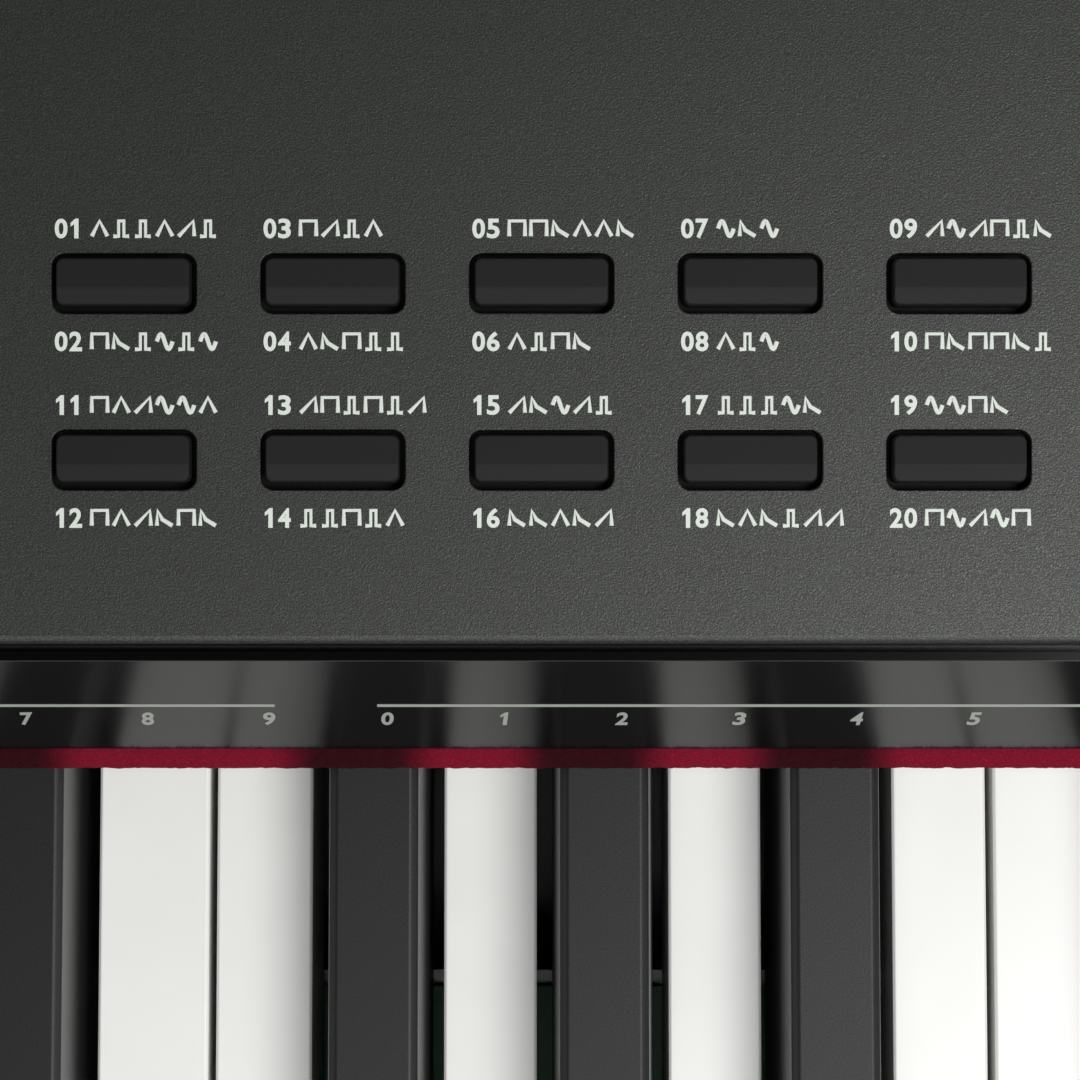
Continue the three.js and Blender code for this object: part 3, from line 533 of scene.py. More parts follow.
def black_key(line):
    """The cap and body of one black key, and the heel that joins it to the rail."""
    x = black_centre(line)
    half = BLACK_BASE / 2
    shelf = KEY_TOP - SHELF_DROP
    cap_end = FELT_FRONT + CAP_HIDDEN
    key = block("key", (x - half, black_low.y, KEY_FOOT), (x + half, TAIL_END, shelf))
    edit(key)
    # the cap rises from a low body, narrows to its top, and is raked at the front
    bpy.ops.mesh.select_all(action="SELECT")
    bpy.ops.mesh.bisect(plane_co=(0, cap_end, 0), plane_no=(0, 1, 0))
    pick(key, "faces", lambda face: face.normal.z > 0.9 and middle_of(face).y < cap_end)
    rise = black_high.z - shelf
    bpy.ops.mesh.extrude_region_move(TRANSFORM_OT_translate={"value": (0, 0, rise)})
    bpy.ops.transform.resize(value=(BLACK_TOP / BLACK_BASE, 1, 1), center_override=(x, 0, 0))
    front = black_low.y + MM
    pick(key, "verts", lambda vert: vert.co.z > KEY_TOP and vert.co.y < front)
    bpy.ops.transform.translate(value=(0, BLACK_RAKE, 0))
    close()
    heel_foot = KEY_FOOT + BLACK_RAIL_LIFT
    heel = block(
        "heel",
        (x - BLACK_NECK / 2, TAIL_END - TAIL_BEHIND_PIVOT, heel_foot),
        (x + BLACK_NECK / 2, KEY_REAR, heel_foot + RAIL_SIZE),
    )
    return [key, heel]


SIDE_ROUGHNESS = 0.38
SIDE_GLOSS = 1
TOP_GLOSS = 0.3
MATT_FROM = 0.3
MATT_OVER = 0.6


def write_matt(piece):
    """1 on faces that look up, 0 on upright ones: only the key tops have the matt grain."""
    matt = piece.data.attributes.new("matt", "FLOAT", "POINT")
    for vert in piece.data.vertices:
        matt.data[vert.index].value = min(max((vert.normal.z - MATT_FROM) / MATT_OVER, 0), 1)


# satin black plastic: tops with a fine even matt from the mould, sides left smooth
key_black, shader = new_material("satin_black_key_plastic", "#141415", 0.42)
noise = grain(key_black, shader, size=0.3 * MM, depth=0.012 * MM, detail=3)
grained = add_node(
    key_black, "ShaderNodeMapRange", Value=noise.outputs[0], To_Min=0.4, To_Max=0.48,
)
matt = add_node(key_black, "ShaderNodeAttribute", {"attribute_name": "matt"})
finish = add_node(
    key_black, "ShaderNodeMapRange",
    Value=matt.outputs["Fac"], To_Min=SIDE_ROUGHNESS, To_Max=grained.outputs[0],
)
key_black.node_tree.links.new(finish.outputs[0], shader.inputs["Roughness"])
gloss = add_node(
    key_black, "ShaderNodeMapRange",
    Value=matt.outputs["Fac"], To_Min=SIDE_GLOSS, To_Max=TOP_GLOSS,
)
key_black.node_tree.links.new(gloss.outputs[0], shader.inputs["Specular IOR Level"])
vary(key_black, shader, "Base Color", noise.outputs[0], "#0f0f10", "#151516")

for line, name in ((24, "d_sharp_4"), (26, "f_sharp_4"), (27, "g_sharp_4"), (28, "a_sharp_4")):
    key = union(black_key(line), f"black_key_{name}")
    soften(key, BLACK_EDGE, segments=5, angle=30)
    write_matt(key)
    paint(key, key_black)
    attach(key, f"key_{name}")
    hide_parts(f"key_{name}")

for name, _, _, first, last in SETS:
    node = f"black_keys_{name}_set"
    lines = [line for line in range(first, last + 1) if black_centre(line) is not None]
    parts = [part for line in lines for part in black_key(line)]
    heel_foot = KEY_FOOT + BLACK_RAIL_LIFT
    parts.append(block(
        "rail",
        (black_centre(lines[0]) - BLACK_NECK / 2, KEY_REAR - RAIL_SIZE, heel_foot),
        (black_centre(lines[-1]) + BLACK_NECK / 2, KEY_REAR, heel_foot + RAIL_SIZE),
    ))
    key_set = union(parts, f"black_keys_{name}")
    soften(key_set, BLACK_EDGE, segments=5, angle=30)
    write_matt(key_set)
    paint(key_set, key_black)
    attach(key_set, node)
    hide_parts(node)


# Casing: front rail and cheeks
# The rail is lacquered fibre board, the cheeks are dark moulded plastic with a fine grain.
# Their shapes are copies of the frame's own parts, with their edges rounded.
MERGE_WITHIN = 0.001 * MM
FLAT_WITHIN = math.radians(0.5)
RAIL_EDGE = 0.8 * MM
CHEEK_EDGE = 2.5 * MM


def copy_of(node, name):
    """A clean copy of a frame part: doubles merged and flat triangles joined."""
    piece = frame["nodes"][node].copy()
    piece.data = piece.data.copy()
    bpy.context.scene.collection.objects.link(piece)
    piece.parent = None
    piece.name = name
    for mark in ("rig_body", "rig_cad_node"):      # a new piece, so it rides by its own call
        del piece[mark]
    bpy.ops.object.select_all(action="DESELECT")
    bpy.context.view_layer.objects.active = piece
    bpy.ops.mesh.customdata_custom_splitnormals_clear()
    edit(piece)
    bpy.ops.mesh.select_all(action="SELECT")
    bpy.ops.mesh.remove_doubles(threshold=MERGE_WITHIN)
    bpy.ops.mesh.dissolve_limited(angle_limit=FLAT_WITHIN)
    close()
    return piece


# moulded dark plastic: even fine grain, low sheen
case_plastic, shader = new_material("grained_dark_case_plastic", "#232423", 0.5)
noise = grain(case_plastic, shader, size=0.35 * MM, depth=0.03 * MM, detail=3)
vary(case_plastic, shader, "Base Color", noise.outputs[0], "#1d1e1d", "#2b2c2b")
vary(case_plastic, shader, "Roughness", noise.outputs[0], 0.45, 0.62)

for node, name, edge_radius, material, slot in (
    ("front_rail", "lacquered_front_rail", RAIL_EDGE, board_paint, "bottom_wood"),
    ("left_cheek", "moulded_left_cheek", CHEEK_EDGE, case_plastic, "case_plastic"),
    ("right_cheek", "moulded_right_cheek", CHEEK_EDGE, case_plastic, "case_plastic"),
):
    shell = copy_of(node, name)
    soften(shell, edge_radius, segments=4)
    paint(shell, material)
    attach(shell, "case")
    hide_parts(node)


# Key strip
# A black strip with a polished face that slopes down to the keys. It carries fine printed
# lines and digits, one digit over each key.
STRIP_LEAN = math.radians(60.9)
STRIP_EDGE = 0.05 * MM
strip_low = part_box("key_strip")[0]
STRIP_PLACE = Matrix.Translation((0, strip_low.y, strip_low.z))
STRIP_PLANE = STRIP_PLACE @ Matrix.Rotation(STRIP_LEAN, 4, "X")

# polished black plastic: deep black, with a slightly hazed reflection of the keys
strip_gloss, shader = new_material("polished_black_strip_plastic", "#040404", 0.155)
noise = grain(strip_gloss, shader, size=0.3 * MM, depth=0.0004 * MM)
vary(strip_gloss, shader, "Roughness", noise.outputs[0], 0.14, 0.17)
shader.inputs["Specular IOR Level"].default_value = 0.7

strip = copy_of("key_strip", "polished_key_strip")
soften(strip, STRIP_EDGE, segments=2)
paint(strip, strip_gloss)
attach(strip, "case")
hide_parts("key_strip")

# screen printing ink, worn thin: dull grey, with the black showing through a little
worn_ink, shader = new_material("thin_grey_printing_ink", "#8f958d", 0.6)
noise = grain(worn_ink, shader, size=0.12 * MM, depth=0.004 * MM)
vary(worn_ink, shader, "Base Color", noise.outputs[0], "#7e847c", "#979d94")

INK = 0.03 * MM
BOLD = 0.03
# outline of a plain one, in shares of its width and height
ONE_SHARES = [(0.38, 0), (0.72, 0), (0.72, 1), (0.46, 1), (0.1, 0.78), (0.1, 0.6), (0.38, 0.72)]


def solid_print(name, points, width, height):
    """A flat shape of ink from its outline, given in shares of its width and height."""
    mesh = bpy.data.meshes.new(name)
    mesh.from_pydata([(x * width, y * height, 0) for x, y in points], [], [range(len(points))])
    shape = bpy.data.objects.new(name, mesh)
    bpy.context.scene.collection.objects.link(shape)
    modify(shape, "ink", "SOLIDIFY", thickness=2 * INK, offset=0)
    return shape


def printed(text, width, height):
    """One bold character as a thin layer of ink that fills a width and a height."""
    if text == "1":
        return solid_print("one", ONE_SHARES, width, height)
    bpy.ops.object.select_all(action="DESELECT")
    bpy.ops.object.text_add()
    letters = bpy.context.object
    letters.data.body = text
    letters.data.offset = BOLD
    letters.data.extrude = INK
    letters.data.resolution_u = 6
    bpy.ops.object.convert(target="MESH")
    xs = [v.co.x for v in letters.data.vertices]
    ys = [v.co.y for v in letters.data.vertices]
    zs = [v.co.z for v in letters.data.vertices]
    across, up = width / (max(xs) - min(xs)), height / (max(ys) - min(ys))
    fit = Matrix.Diagonal((across, up, INK / max(zs), 1))
    letters.data.transform(fit @ Matrix.Translation((-min(xs), -min(ys), 0)))
    return letters


DIGIT_WIDTH = 1.42 * MM
DIGIT_HEIGHT = 2.85 * MM
DIGIT_SLANT = 0.08
DIGIT_FOOT = 5.5 * MM
LINE_FOOT = 9.6 * MM
LINE_WIDTH = 0.55 * MM
LINE_PAST = 0.95 * MM
# first digit's place and the pitch of the other nine, to the left and to the right
GROUPS = ((8.33 * MM, -13.93 * MM), (21.92 * MM, 13.48 * MM))
marks = []
slant = Matrix(((1, DIGIT_SLANT, 0, 0), (0, 1, 0, 0), (0, 0, 1, 0), (0, 0, 0, 1)))
for start, pitch in GROUPS:
    for count in range(10):
        digit = count if pitch > 0 else 9 - count
        x = start + count * pitch - DIGIT_WIDTH / 2
        mark = printed(str(digit), DIGIT_WIDTH, DIGIT_HEIGHT)
        mark.data.transform(STRIP_PLANE @ Matrix.Translation((x, DIGIT_FOOT, 0)) @ slant)
        marks.append(mark)
    ends = sorted((start, start + 9 * pitch))
    line = block(
        "line",
        (ends[0] - LINE_PAST, LINE_FOOT, -INK),
        (ends[1] + LINE_PAST, LINE_FOOT + LINE_WIDTH, INK),
    )
    line.data.transform(STRIP_PLANE)
    marks.append(line)
strip_print = union(marks, "strip_print")
paint(strip_print, worn_ink)
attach(strip_print, "case")


# Felt strip
# Red wool felt glued under the strip's lower edge, with its front worn round and hairy. Over the
# black keys its colour is darker: painted shade, where the black keys keep the light off it.
FELT_CELL = 0.4 * MM
FELT_AHEAD = 0.25 * MM
FELT_FALL = 2.4 * MM
FELT_DROP = 0.9 * MM
FALL_POWER = 1.6
FELT_CUTS = (0.15, 0.35, 0.6, 0.8, 1.0)
WOOL_LUMP = 0.9 * MM
WOOL_HEIGHT = 0.4 * MM
FIBRES = 14000
FIBRE_WIDTH = 0.04 * MM
FIBRE_LENGTHS = (0.2, 0.5)      # in mm
FIBRE_ROOT = 0.15 * MM
# the painted shade over a black key reaches further to its left than to its right, like a shadow
# cast from the right
SHADE_FADE = 6.5 * MM
SHADE_LEFT = 9.4 * MM
SHADE_RIGHT = 5.6 * MM
low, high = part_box("felt_strip")
low.y -= FELT_AHEAD
black_spans = [
    (black_centre(line) - SHADE_LEFT, black_centre(line) + SHADE_RIGHT)
    for line in range(WHITE_KEYS - 1)
    if black_centre(line) is not None
]


def felt_shade(x):
    """1 where the felt lies over white keys, down to 0 where a black key keeps the light off."""
    away = min(max(start - x, x - end) for start, end in black_spans)
    share = min(max(0.5 + away / SHADE_FADE, 0), 1)
    return share * share * (3 - 2 * share)


def write_shade(piece):
    """Writes felt_shade, the painted shade, to each corner, for the felt's and the fibres' colours
    to read.
    """
    shade = piece.data.attributes.new("shade", "FLOAT", "POINT")
    for vert in piece.data.vertices:
        shade.data[vert.index].value = felt_shade(vert.co.x)


# pressed wool: matt crimson that scatters no highlight, mottled by its fibres, and painted darker
# as shade over the black keys
red_felt, shader = new_material("crimson_pressed_wool_felt", "#8c1a30", 0.95)
noise = grain(red_felt, shader, size=0.2 * MM, depth=0.1 * MM, detail=6)
shader.inputs["Specular IOR Level"].default_value = 0.1
lit = add_node(
    red_felt, "ShaderNodeMix", {"data_type": "RGBA"},
    i0=noise.outputs[0], i6=linear("#3e0512"), i7=linear("#86142c"),
)
# painted shade: a darker copy of the crimson, mixed in where the black keys keep the light off
painted_shade = add_node(
    red_felt, "ShaderNodeMix", {"data_type": "RGBA"},
    i0=noise.outputs[0], i6=linear("#190206"), i7=linear("#32060f"),
)
shade = add_node(red_felt, "ShaderNodeAttribute", {"attribute_name": "shade"})
colour = add_node(
    red_felt, "ShaderNodeMix", {"data_type": "RGBA"},
    i0=shade.outputs["Fac"], i6=painted_shade.outputs[2], i7=lit.outputs[2],
)
red_felt.node_tree.links.new(colour.outputs[2], shader.inputs["Base Color"])

felt = block("red_felt_strip", low, high)
edit(felt)
cuts = int(math.sqrt((high.x - low.x) / FELT_CELL))
for _ in range(2):      # in two rounds, because one subdivision is held to 100 cuts
    pick(felt, "edges", lambda edge: abs(edge.verts[0].co.x - edge.verts[1].co.x) > MM)
    bpy.ops.mesh.subdivide(number_cuts=cuts)
for share in FELT_CUTS:
    bpy.ops.mesh.select_all(action="SELECT")
    bpy.ops.mesh.bisect(plane_co=(0, low.y + share * FELT_FALL, 0), plane_no=(0, 1, 0))
bpy.ops.mesh.select_all(action="SELECT")
bpy.ops.mesh.bisect(plane_co=(0, 0, (low.z + high.z) / 2), plane_no=(0, 0, 1))
close()
for vert in felt.data.vertices:
    ahead = max(0, 1 - (vert.co.y - low.y) / FELT_FALL)
    level = (vert.co.z - low.z) / (high.z - low.z)
    vert.co.z -= level * FELT_DROP * ahead ** FALL_POWER
wool = bpy.data.textures.new("wool", "CLOUDS")
wool.noise_scale = WOOL_LUMP
modify(
    felt, "wool", "DISPLACE", texture=wool, strength=WOOL_HEIGHT, mid_level=0.6,
    texture_coords="GLOBAL",
)
bpy.ops.object.shade_smooth()

# each fibre is a three-sided spike: a ring at its root, a ring part way up, and a tip
random.seed(7)
points, faces = [], []
for _ in range(FIBRES):
    root = Vector((
        random.uniform(low.x + MM, high.x - MM),
        low.y + random.uniform(0.05, 1) * FELT_FALL,
        0,
    ))
    root.z = high.z - FELT_DROP * (1 - (root.y - low.y) / FELT_FALL) ** FALL_POWER - FIBRE_ROOT
    # it leans forward more often than back, and its tip bends down
    aim = Vector((
        random.uniform(-1, 1), random.uniform(-1, 0.2), random.uniform(-0.5, 0.5),
    )).normalized()
    bend = aim + Vector((
        random.uniform(-0.6, 0.6), random.uniform(-0.5, 0.3), random.uniform(-0.7, 0.1),
    ))
    length = random.uniform(*FIBRE_LENGTHS) * MM
    across = aim.cross(Vector((0, 0, 1))).normalized() * FIBRE_WIDTH
    over = aim.cross(across).normalized() * FIBRE_WIDTH
    first = len(points)
    for middle, share in ((root, 1), (root + aim * length, 0.7)):
        points += [
            middle + across * share,
            middle - across * 0.5 * share + over * share,
            middle - across * 0.5 * share - over * share,
        ]
    points.append(root + aim * length + bend * length)
    for side in range(3):
        after = (side + 1) % 3
        faces.append((first + side, first + after, first + 3 + after, first + 3 + side))
        faces.append((first + 3 + side, first + 3 + after, first + 6))
    faces.append((first + 2, first + 1, first))
for point in points:
    point.y = max(point.y, low.y)
    point.z = min(max(point.z, low.z), high.z)
mesh = bpy.data.meshes.new("felt_fibres")
mesh.from_pydata(points, [], faces)
fibres = bpy.data.objects.new("felt_fibres", mesh)
bpy.context.scene.collection.objects.link(fibres)

# single wool fibres: the same dye, painted lighter for the light that passes through them, and
# painted darker as shade over the black keys
wool_fibre, shader = new_material("crimson_single_wool_fibre", "#a8203a", 0.9)
grain(wool_fibre, shader, size=0.4 * MM, depth=0.02 * MM)
shader.inputs["Specular IOR Level"].default_value = 0.1
# painted shade over the black keys, read from the same shade attribute as the felt
shade = add_node(wool_fibre, "ShaderNodeAttribute", {"attribute_name": "shade"})
vary(wool_fibre, shader, "Base Color", shade.outputs["Fac"], "#3a0a14", "#a01f38")

for piece, finish in ((felt, red_felt), (fibres, wool_fibre)):
    write_shade(piece)
    paint(piece, finish)
    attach(piece, "case")
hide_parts("felt_strip")


# Top panel
# A painted sheet in one piece. The holes for the buttons, display and knob are punched before
# it is painted, so their edges are a little soft. Here it lies flat, and is then leant back.
PANEL_THICKNESS = 2.5 * MM
PANEL_LENGTH = 149.44 * MM
EDGE_RADIUS = 1.0 * MM
BUTTON_PITCH = 23.2 * MM
ROW_PITCH = 19.62 * MM
BUTTON_GROUP_X = 39.72 * MM
FRONT_ROW = 20.5 * MM
HOLE_WIDTH = 16 * MM
HOLE_DEPTH = 6.6 * MM
HOLE_RADIUS = 1.35 * MM
DISPLAY_PLACE = (-80 * MM, 38 * MM)
DISPLAY_SIZE = (80 * MM, 36 * MM)
POWER_PLACE = (-560 * MM, 38 * MM)
KNOB_PLACE = (-500 * MM, 38 * MM)
DISPLAY_CORNER = 2 * MM
DISPLAY_GAP = 0.3 * MM
SHAFT_HOLE = 3.3 * MM
PUNCHED_EDGE = 0.18 * MM
HAIR = 0.01 * MM

button_places = [
    (BUTTON_GROUP_X + (column - 2) * BUTTON_PITCH, FRONT_ROW + (1 - row) * ROW_PITCH)
    for row in range(2)
    for column in range(5)
]


def rounded_block(name, centre, size, radius, low, high):
    """A box with rounded upright edges."""
    x, y = centre
    piece = block(
        name,
        (x - size[0] / 2, y - size[1] / 2, low),
        (x + size[0] / 2, y + size[1] / 2, high),
    )
    edit(piece)
    half = (high - low) / 2
    pick(piece, "edges", lambda edge: abs(edge.verts[0].co.z - edge.verts[1].co.z) > half)
    bpy.ops.mesh.bevel(offset=radius, segments=8)
    close()
    return piece


# metallic paint: dark grey with fine bright flecks. Real flecks are finer than the view can
# show, so they and the skin of the paint are drawn as coarse as they just show.
FLECK_SIZE = 0.17 * MM
panel_paint, shader = new_material("grey_metallic_fleck_paint", "#2b2d2a", 0.4)
grain(panel_paint, shader, size=0.2 * MM, depth=0.042 * MM)
place = add_node(panel_paint, "ShaderNodeTexCoord")
flecks = add_node(
    panel_paint, "ShaderNodeTexNoise",
    Vector=place.outputs["Object"], Scale=1 / FLECK_SIZE, Detail=2,
)
spread = add_node(
    panel_paint, "ShaderNodeMapRange", Value=flecks.outputs[0], From_Min=0.42, From_Max=0.68,
)
vary(panel_paint, shader, "Base Color", spread.outputs[0], "#020202", "#2d332b")
vary(panel_paint, shader, "Roughness", spread.outputs[0], 0.5, 0.33)

low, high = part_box("top_panel")
panel = block("painted_top_panel", (low.x, 0, -PANEL_THICKNESS), (high.x, PANEL_LENGTH, 0))
edit(panel)
pick(
    panel, "edges",
    lambda edge: middle_of(edge).z > -HAIR and abs(edge.verts[0].co.y - edge.verts[1].co.y) < HAIR,
)
bpy.ops.mesh.bevel(offset=EDGE_RADIUS, segments=8)
close()
through = (-PANEL_THICKNESS - MM, MM)
cutters = [
    rounded_block("cutter", centre, (HOLE_WIDTH, HOLE_DEPTH), HOLE_RADIUS, *through)
    for centre in (*button_places, POWER_PLACE)
]
display_hole = [side + 2 * DISPLAY_GAP for side in DISPLAY_SIZE]
cutters.append(rounded_block("cutter", DISPLAY_PLACE, display_hole, DISPLAY_CORNER, *through))
cutters.append(drum("cutter", KNOB_PLACE, SHAFT_HOLE, *through))
carve(panel, cutters)
soften(panel, PUNCHED_EDGE, segments=2, angle=50)
panel.data.transform(PANEL_PLANE)
paint(panel, panel_paint)
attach(panel, "case")
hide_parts("top_panel")


# Buttons
# Ten voice buttons and the power button, each one moulding of matt black rubber with a crease
# across it and a slightly hollow part in front. A skirt under the panel keeps each in its hole.
SIDE_CLEARANCE = 0.55 * MM
END_CLEARANCE = 0.65 * MM
CREST = 1.5 * MM
REAR_HEIGHT = 1.25 * MM
FRONT_HEIGHT = 0.98 * MM
CREST_SHARE = 0.66
TOP_INSET = 0.12 * MM
HOLLOW_POWER = 0.7
CREASE_RADIUS = 0.25 * MM
CAP_EDGE = 0.15 * MM
CAP_BACK = 0.13 * MM
SKIRT_GAP = 0.3 * MM
SKIRT_THICKNESS = 1.0 * MM
SKIRT_TOP = -PANEL_THICKNESS - SKIRT_GAP
SKIRT_FOOT = SKIRT_TOP - SKIRT_THICKNESS
SKIRT_REACH = 1.2 * MM
STEM_HALF = 1.5 * MM
STEM_LENGTH = 2 * MM

# silicone rubber with a matt skin: nearly black, with a faint broad sheen
button_rubber, shader = new_material("matt_black_button_rubber", "#0e0f0e", 0.64)
noise = grain(button_rubber, shader, size=0.5 * MM, depth=0.006 * MM, detail=3)
vary(button_rubber, shader, "Roughness", noise.outputs[0], 0.6, 0.68)
vary(button_rubber, shader, "Base Color", noise.outputs[0], "#0c0d0c", "#101110")
shader.inputs["Specular IOR Level"].default_value = 0.22


def button(name):
    """A button over the origin of the panel's plane."""
    width, depth = HOLE_WIDTH - 2 * SIDE_CLEARANCE, HOLE_DEPTH - 2 * END_CLEARANCE
    half = depth / 2
    crest_y = half - CREST_SHARE * depth
    hollow_y = (crest_y - half) / 2
    radius = HOLE_RADIUS - SIDE_CLEARANCE
    cap = rounded_block(name, (0, 0), (width, depth), radius, SKIRT_TOP, CREST)
    edit(cap)
    for point, normal in (
        ((0, 0, 0), (0, 0, 1)),
        ((0, crest_y, 0), (0, 1, 0)),
        ((0, hollow_y, 0), (0, 1, 0)),
    ):
        bpy.ops.mesh.select_all(action="SELECT")
        bpy.ops.mesh.bisect(plane_co=point, plane_no=normal)
    close()
    # the top is drawn in a little, and falls from the crease to the back and to the front
    for vert in cap.data.vertices:
        if vert.co.z > CREST / 2:
            vert.co.x *= (width - 2 * TOP_INSET) / width
            vert.co.y *= (depth - 2 * TOP_INSET) / depth
            if vert.co.y > crest_y:
                share = (vert.co.y - crest_y) / (half - crest_y)
                vert.co.z = CREST + share * (REAR_HEIGHT - CREST)
            else:
                share = ((crest_y - vert.co.y) / (crest_y + half)) ** HOLLOW_POWER
                vert.co.z = CREST + share * (FRONT_HEIGHT - CREST)
    edit(cap)
    crease_level = CREST - HAIR
    pick(cap, "edges", lambda edge: all(v.co.z > crease_level for v in edge.verts))
    bpy.ops.mesh.bevel(offset=CREASE_RADIUS, segments=3)
    close()
    soften(cap, CAP_EDGE, segments=3, angle=40)
    reach_x, reach_y = HOLE_WIDTH / 2 + SKIRT_REACH, HOLE_DEPTH / 2 + SKIRT_REACH
    skirt = block("skirt", (-reach_x, -reach_y, SKIRT_FOOT), (reach_x, reach_y, SKIRT_TOP))
    stem_foot = SKIRT_FOOT - STEM_LENGTH
    stem = block("stem", (-STEM_HALF, -STEM_HALF, stem_foot), (STEM_HALF, STEM_HALF, SKIRT_FOOT))
    return union([cap, skirt, stem], name)


pattern = button("button_pattern")
names = [f"voice_button_{count}" for count in range(1, 11)] + ["power_button"]
for name, (x, y) in zip(names, (*button_places, POWER_PLACE)):
    cap = pattern.copy()
    cap.data = pattern.data.copy()
    cap.name = f"{name}_cap"
    bpy.context.scene.collection.objects.link(cap)
    cap.data.transform(PANEL_PLANE @ Matrix.Translation((x, y + CAP_BACK, 0)))
    paint(cap, button_rubber)
    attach(cap, name)
    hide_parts(name)
bpy.data.objects.remove(pattern)


# Printed marks on the panel
# Two-digit voice numbers over and under each button, each with a short row of wave shapes
# that says what kind of sound it is. They are screen printed in one pale ink.
NUMBER_WIDTH = 1.42 * MM
NUMBER_GAP = 0.2 * MM
MARK_HEIGHT = 2.2 * MM
MARK_START = 4.1 * MM
MARK_INSET = 0.3 * MM
STROKE = 0.25 * MM
WAVE_WIDTH = 1.75 * MM
WAVE_GAP = 0.66 * MM
UPPER_FOOT = 5.0 * MM
LOWER_FOOT = -7.55 * MM
WAVES = {
    "sine": [(i / 16, 0.5 + 0.5 * math.sin(i / 16 * 2 * math.pi)) for i in range(17)],
    "triangle": [(0, 0), (0.5, 1), (1, 0)],
    "saw": [(0, 0), (0.95, 1), (1, 0)],
    "square": [(0, 0), (0, 1), (1, 1), (1, 0)],
    "pulse": [(0, 0), (0.33, 0), (0.33, 1), (0.67, 1), (0.67, 0), (1, 0)],
    "decay": [(0, 0), (0.05, 1), (0.35, 0.4), (1, 0)],
}
# how many wave shapes stand beside the numbers 1 to 20
WAVE_COUNTS = (6, 6, 4, 5, 6, 4, 3, 3, 6, 6, 6, 6, 6, 5, 5, 5, 5, 6, 4, 5)

# screen printing ink: pale grey-green, dull, with a faintly uneven edge
print_ink, shader = new_material("pale_screen_printing_ink", "#c3c9c2", 0.6)
noise = grain(print_ink, shader, size=0.12 * MM, depth=0.004 * MM)
vary(print_ink, shader, "Base Color", noise.outputs[0], "#b5bcb4", "#cfd5ce")


def wave(kind, x, y):
    """A wave shape drawn with a flat stroke of ink."""
    curve = bpy.data.curves.new("wave", "CURVE")
    curve.dimensions = "3D"
    curve.bevel_depth = STROKE
    curve.bevel_resolution = 2
    curve.use_fill_caps = True
    spline = curve.splines.new("POLY")
    points = WAVES[kind]
    spline.points.add(len(points) - 1)
    height = MARK_HEIGHT - 2 * STROKE
    for point, (across, up) in zip(spline.points, points):
        point.co = (x + across * WAVE_WIDTH, y + STROKE + up * height, 0, 1)
    mark = bpy.data.objects.new("wave", curve)
    bpy.context.scene.collection.objects.link(mark)
    bpy.ops.object.select_all(action="DESELECT")
    mark.select_set(True)
    bpy.context.view_layer.objects.active = mark
    bpy.ops.object.convert(target="MESH")
    mark.data.transform(Matrix.Diagonal((1, 1, INK / STROKE, 1)))
    return mark


marks = []
random.seed(3)
for index, (x, y) in enumerate(button_places):
    left = x - HOLE_WIDTH / 2 + MARK_INSET
    row, column = divmod(index, 5)
    for lower in (0, 1):
        number = row * 10 + column * 2 + lower + 1
        foot = y + (LOWER_FOOT if lower else UPPER_FOOT)
        for place, digit in enumerate(f"{number:02d}"):
            mark = printed(digit, NUMBER_WIDTH, MARK_HEIGHT)
            across = left + place * (NUMBER_WIDTH + NUMBER_GAP)
            mark.data.transform(Matrix.Translation((across, foot, 0)))
            marks.append(mark)
        for place in range(WAVE_COUNTS[number - 1]):
            kind = random.choice(list(WAVES))
            marks.append(wave(kind, left + MARK_START + place * (WAVE_WIDTH + WAVE_GAP), foot))
panel_print = union(marks, "panel_print")
panel_print.data.transform(PANEL_PLANE)
paint(panel_print, print_ink)
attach(panel_print, "case")


# Display
# A smoked acrylic window with rounded corners, cut from sheet and set a little below the
# panel's face, with a two-digit number that shines through it.
WINDOW_TOP = -0.3 * MM
WINDOW_THICKNESS = 1.5 * MM
WINDOW_EDGE = 0.2 * MM
DIGIT_SIZE = (7.5 * MM, 12 * MM)
DIGIT_PITCH = 9 * MM
NUMBER_START = 14 * MM

# smoked acrylic: almost black, with a clear hard gloss that waves very slightly
pane, shader = new_material("smoked_acrylic", "#070908", 0.06, ior=1.49)
noise = grain(pane, shader, size=20 * MM, depth=0.005 * MM)
vary(pane, shader, "Roughness", noise.outputs[0], 0.04, 0.09)

window = rounded_block(
    "smoked_display_window", DISPLAY_PLACE, DISPLAY_SIZE, DISPLAY_CORNER,
    WINDOW_TOP - WINDOW_THICKNESS, WINDOW_TOP,
)
soften(window, WINDOW_EDGE, segments=2)
window.data.transform(PANEL_PLANE)
paint(window, pane)
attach(window, "case")
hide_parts("display_window")

# lit display cells: pale green that glows softly
lit_segment, shader = new_material("lit_display_segment", "#c9d4c0", 0.5)
noise = grain(lit_segment, shader, size=1 * MM, depth=0.002 * MM)
vary(lit_segment, shader, "Base Color", noise.outputs[0], "#b9c6ae", "#d2dcc8")
shader.inputs["Emission Color"].default_value = linear("#b9d6a0")
shader.inputs["Emission Strength"].default_value = 0.4
digits = []
for place, digit in enumerate("01"):
    shape = printed(digit, *DIGIT_SIZE)
    shape.data.transform(Matrix.Translation((place * DIGIT_PITCH, 0, 0)))
    digits.append(shape)
number = union(digits, "display_number")
number.data.transform(PANEL_PLANE @ Matrix.Translation((
    DISPLAY_PLACE[0] + NUMBER_START, DISPLAY_PLACE[1] - DIGIT_SIZE[1] / 2, WINDOW_TOP,
)))
paint(number, lit_segment)
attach(number, "case")


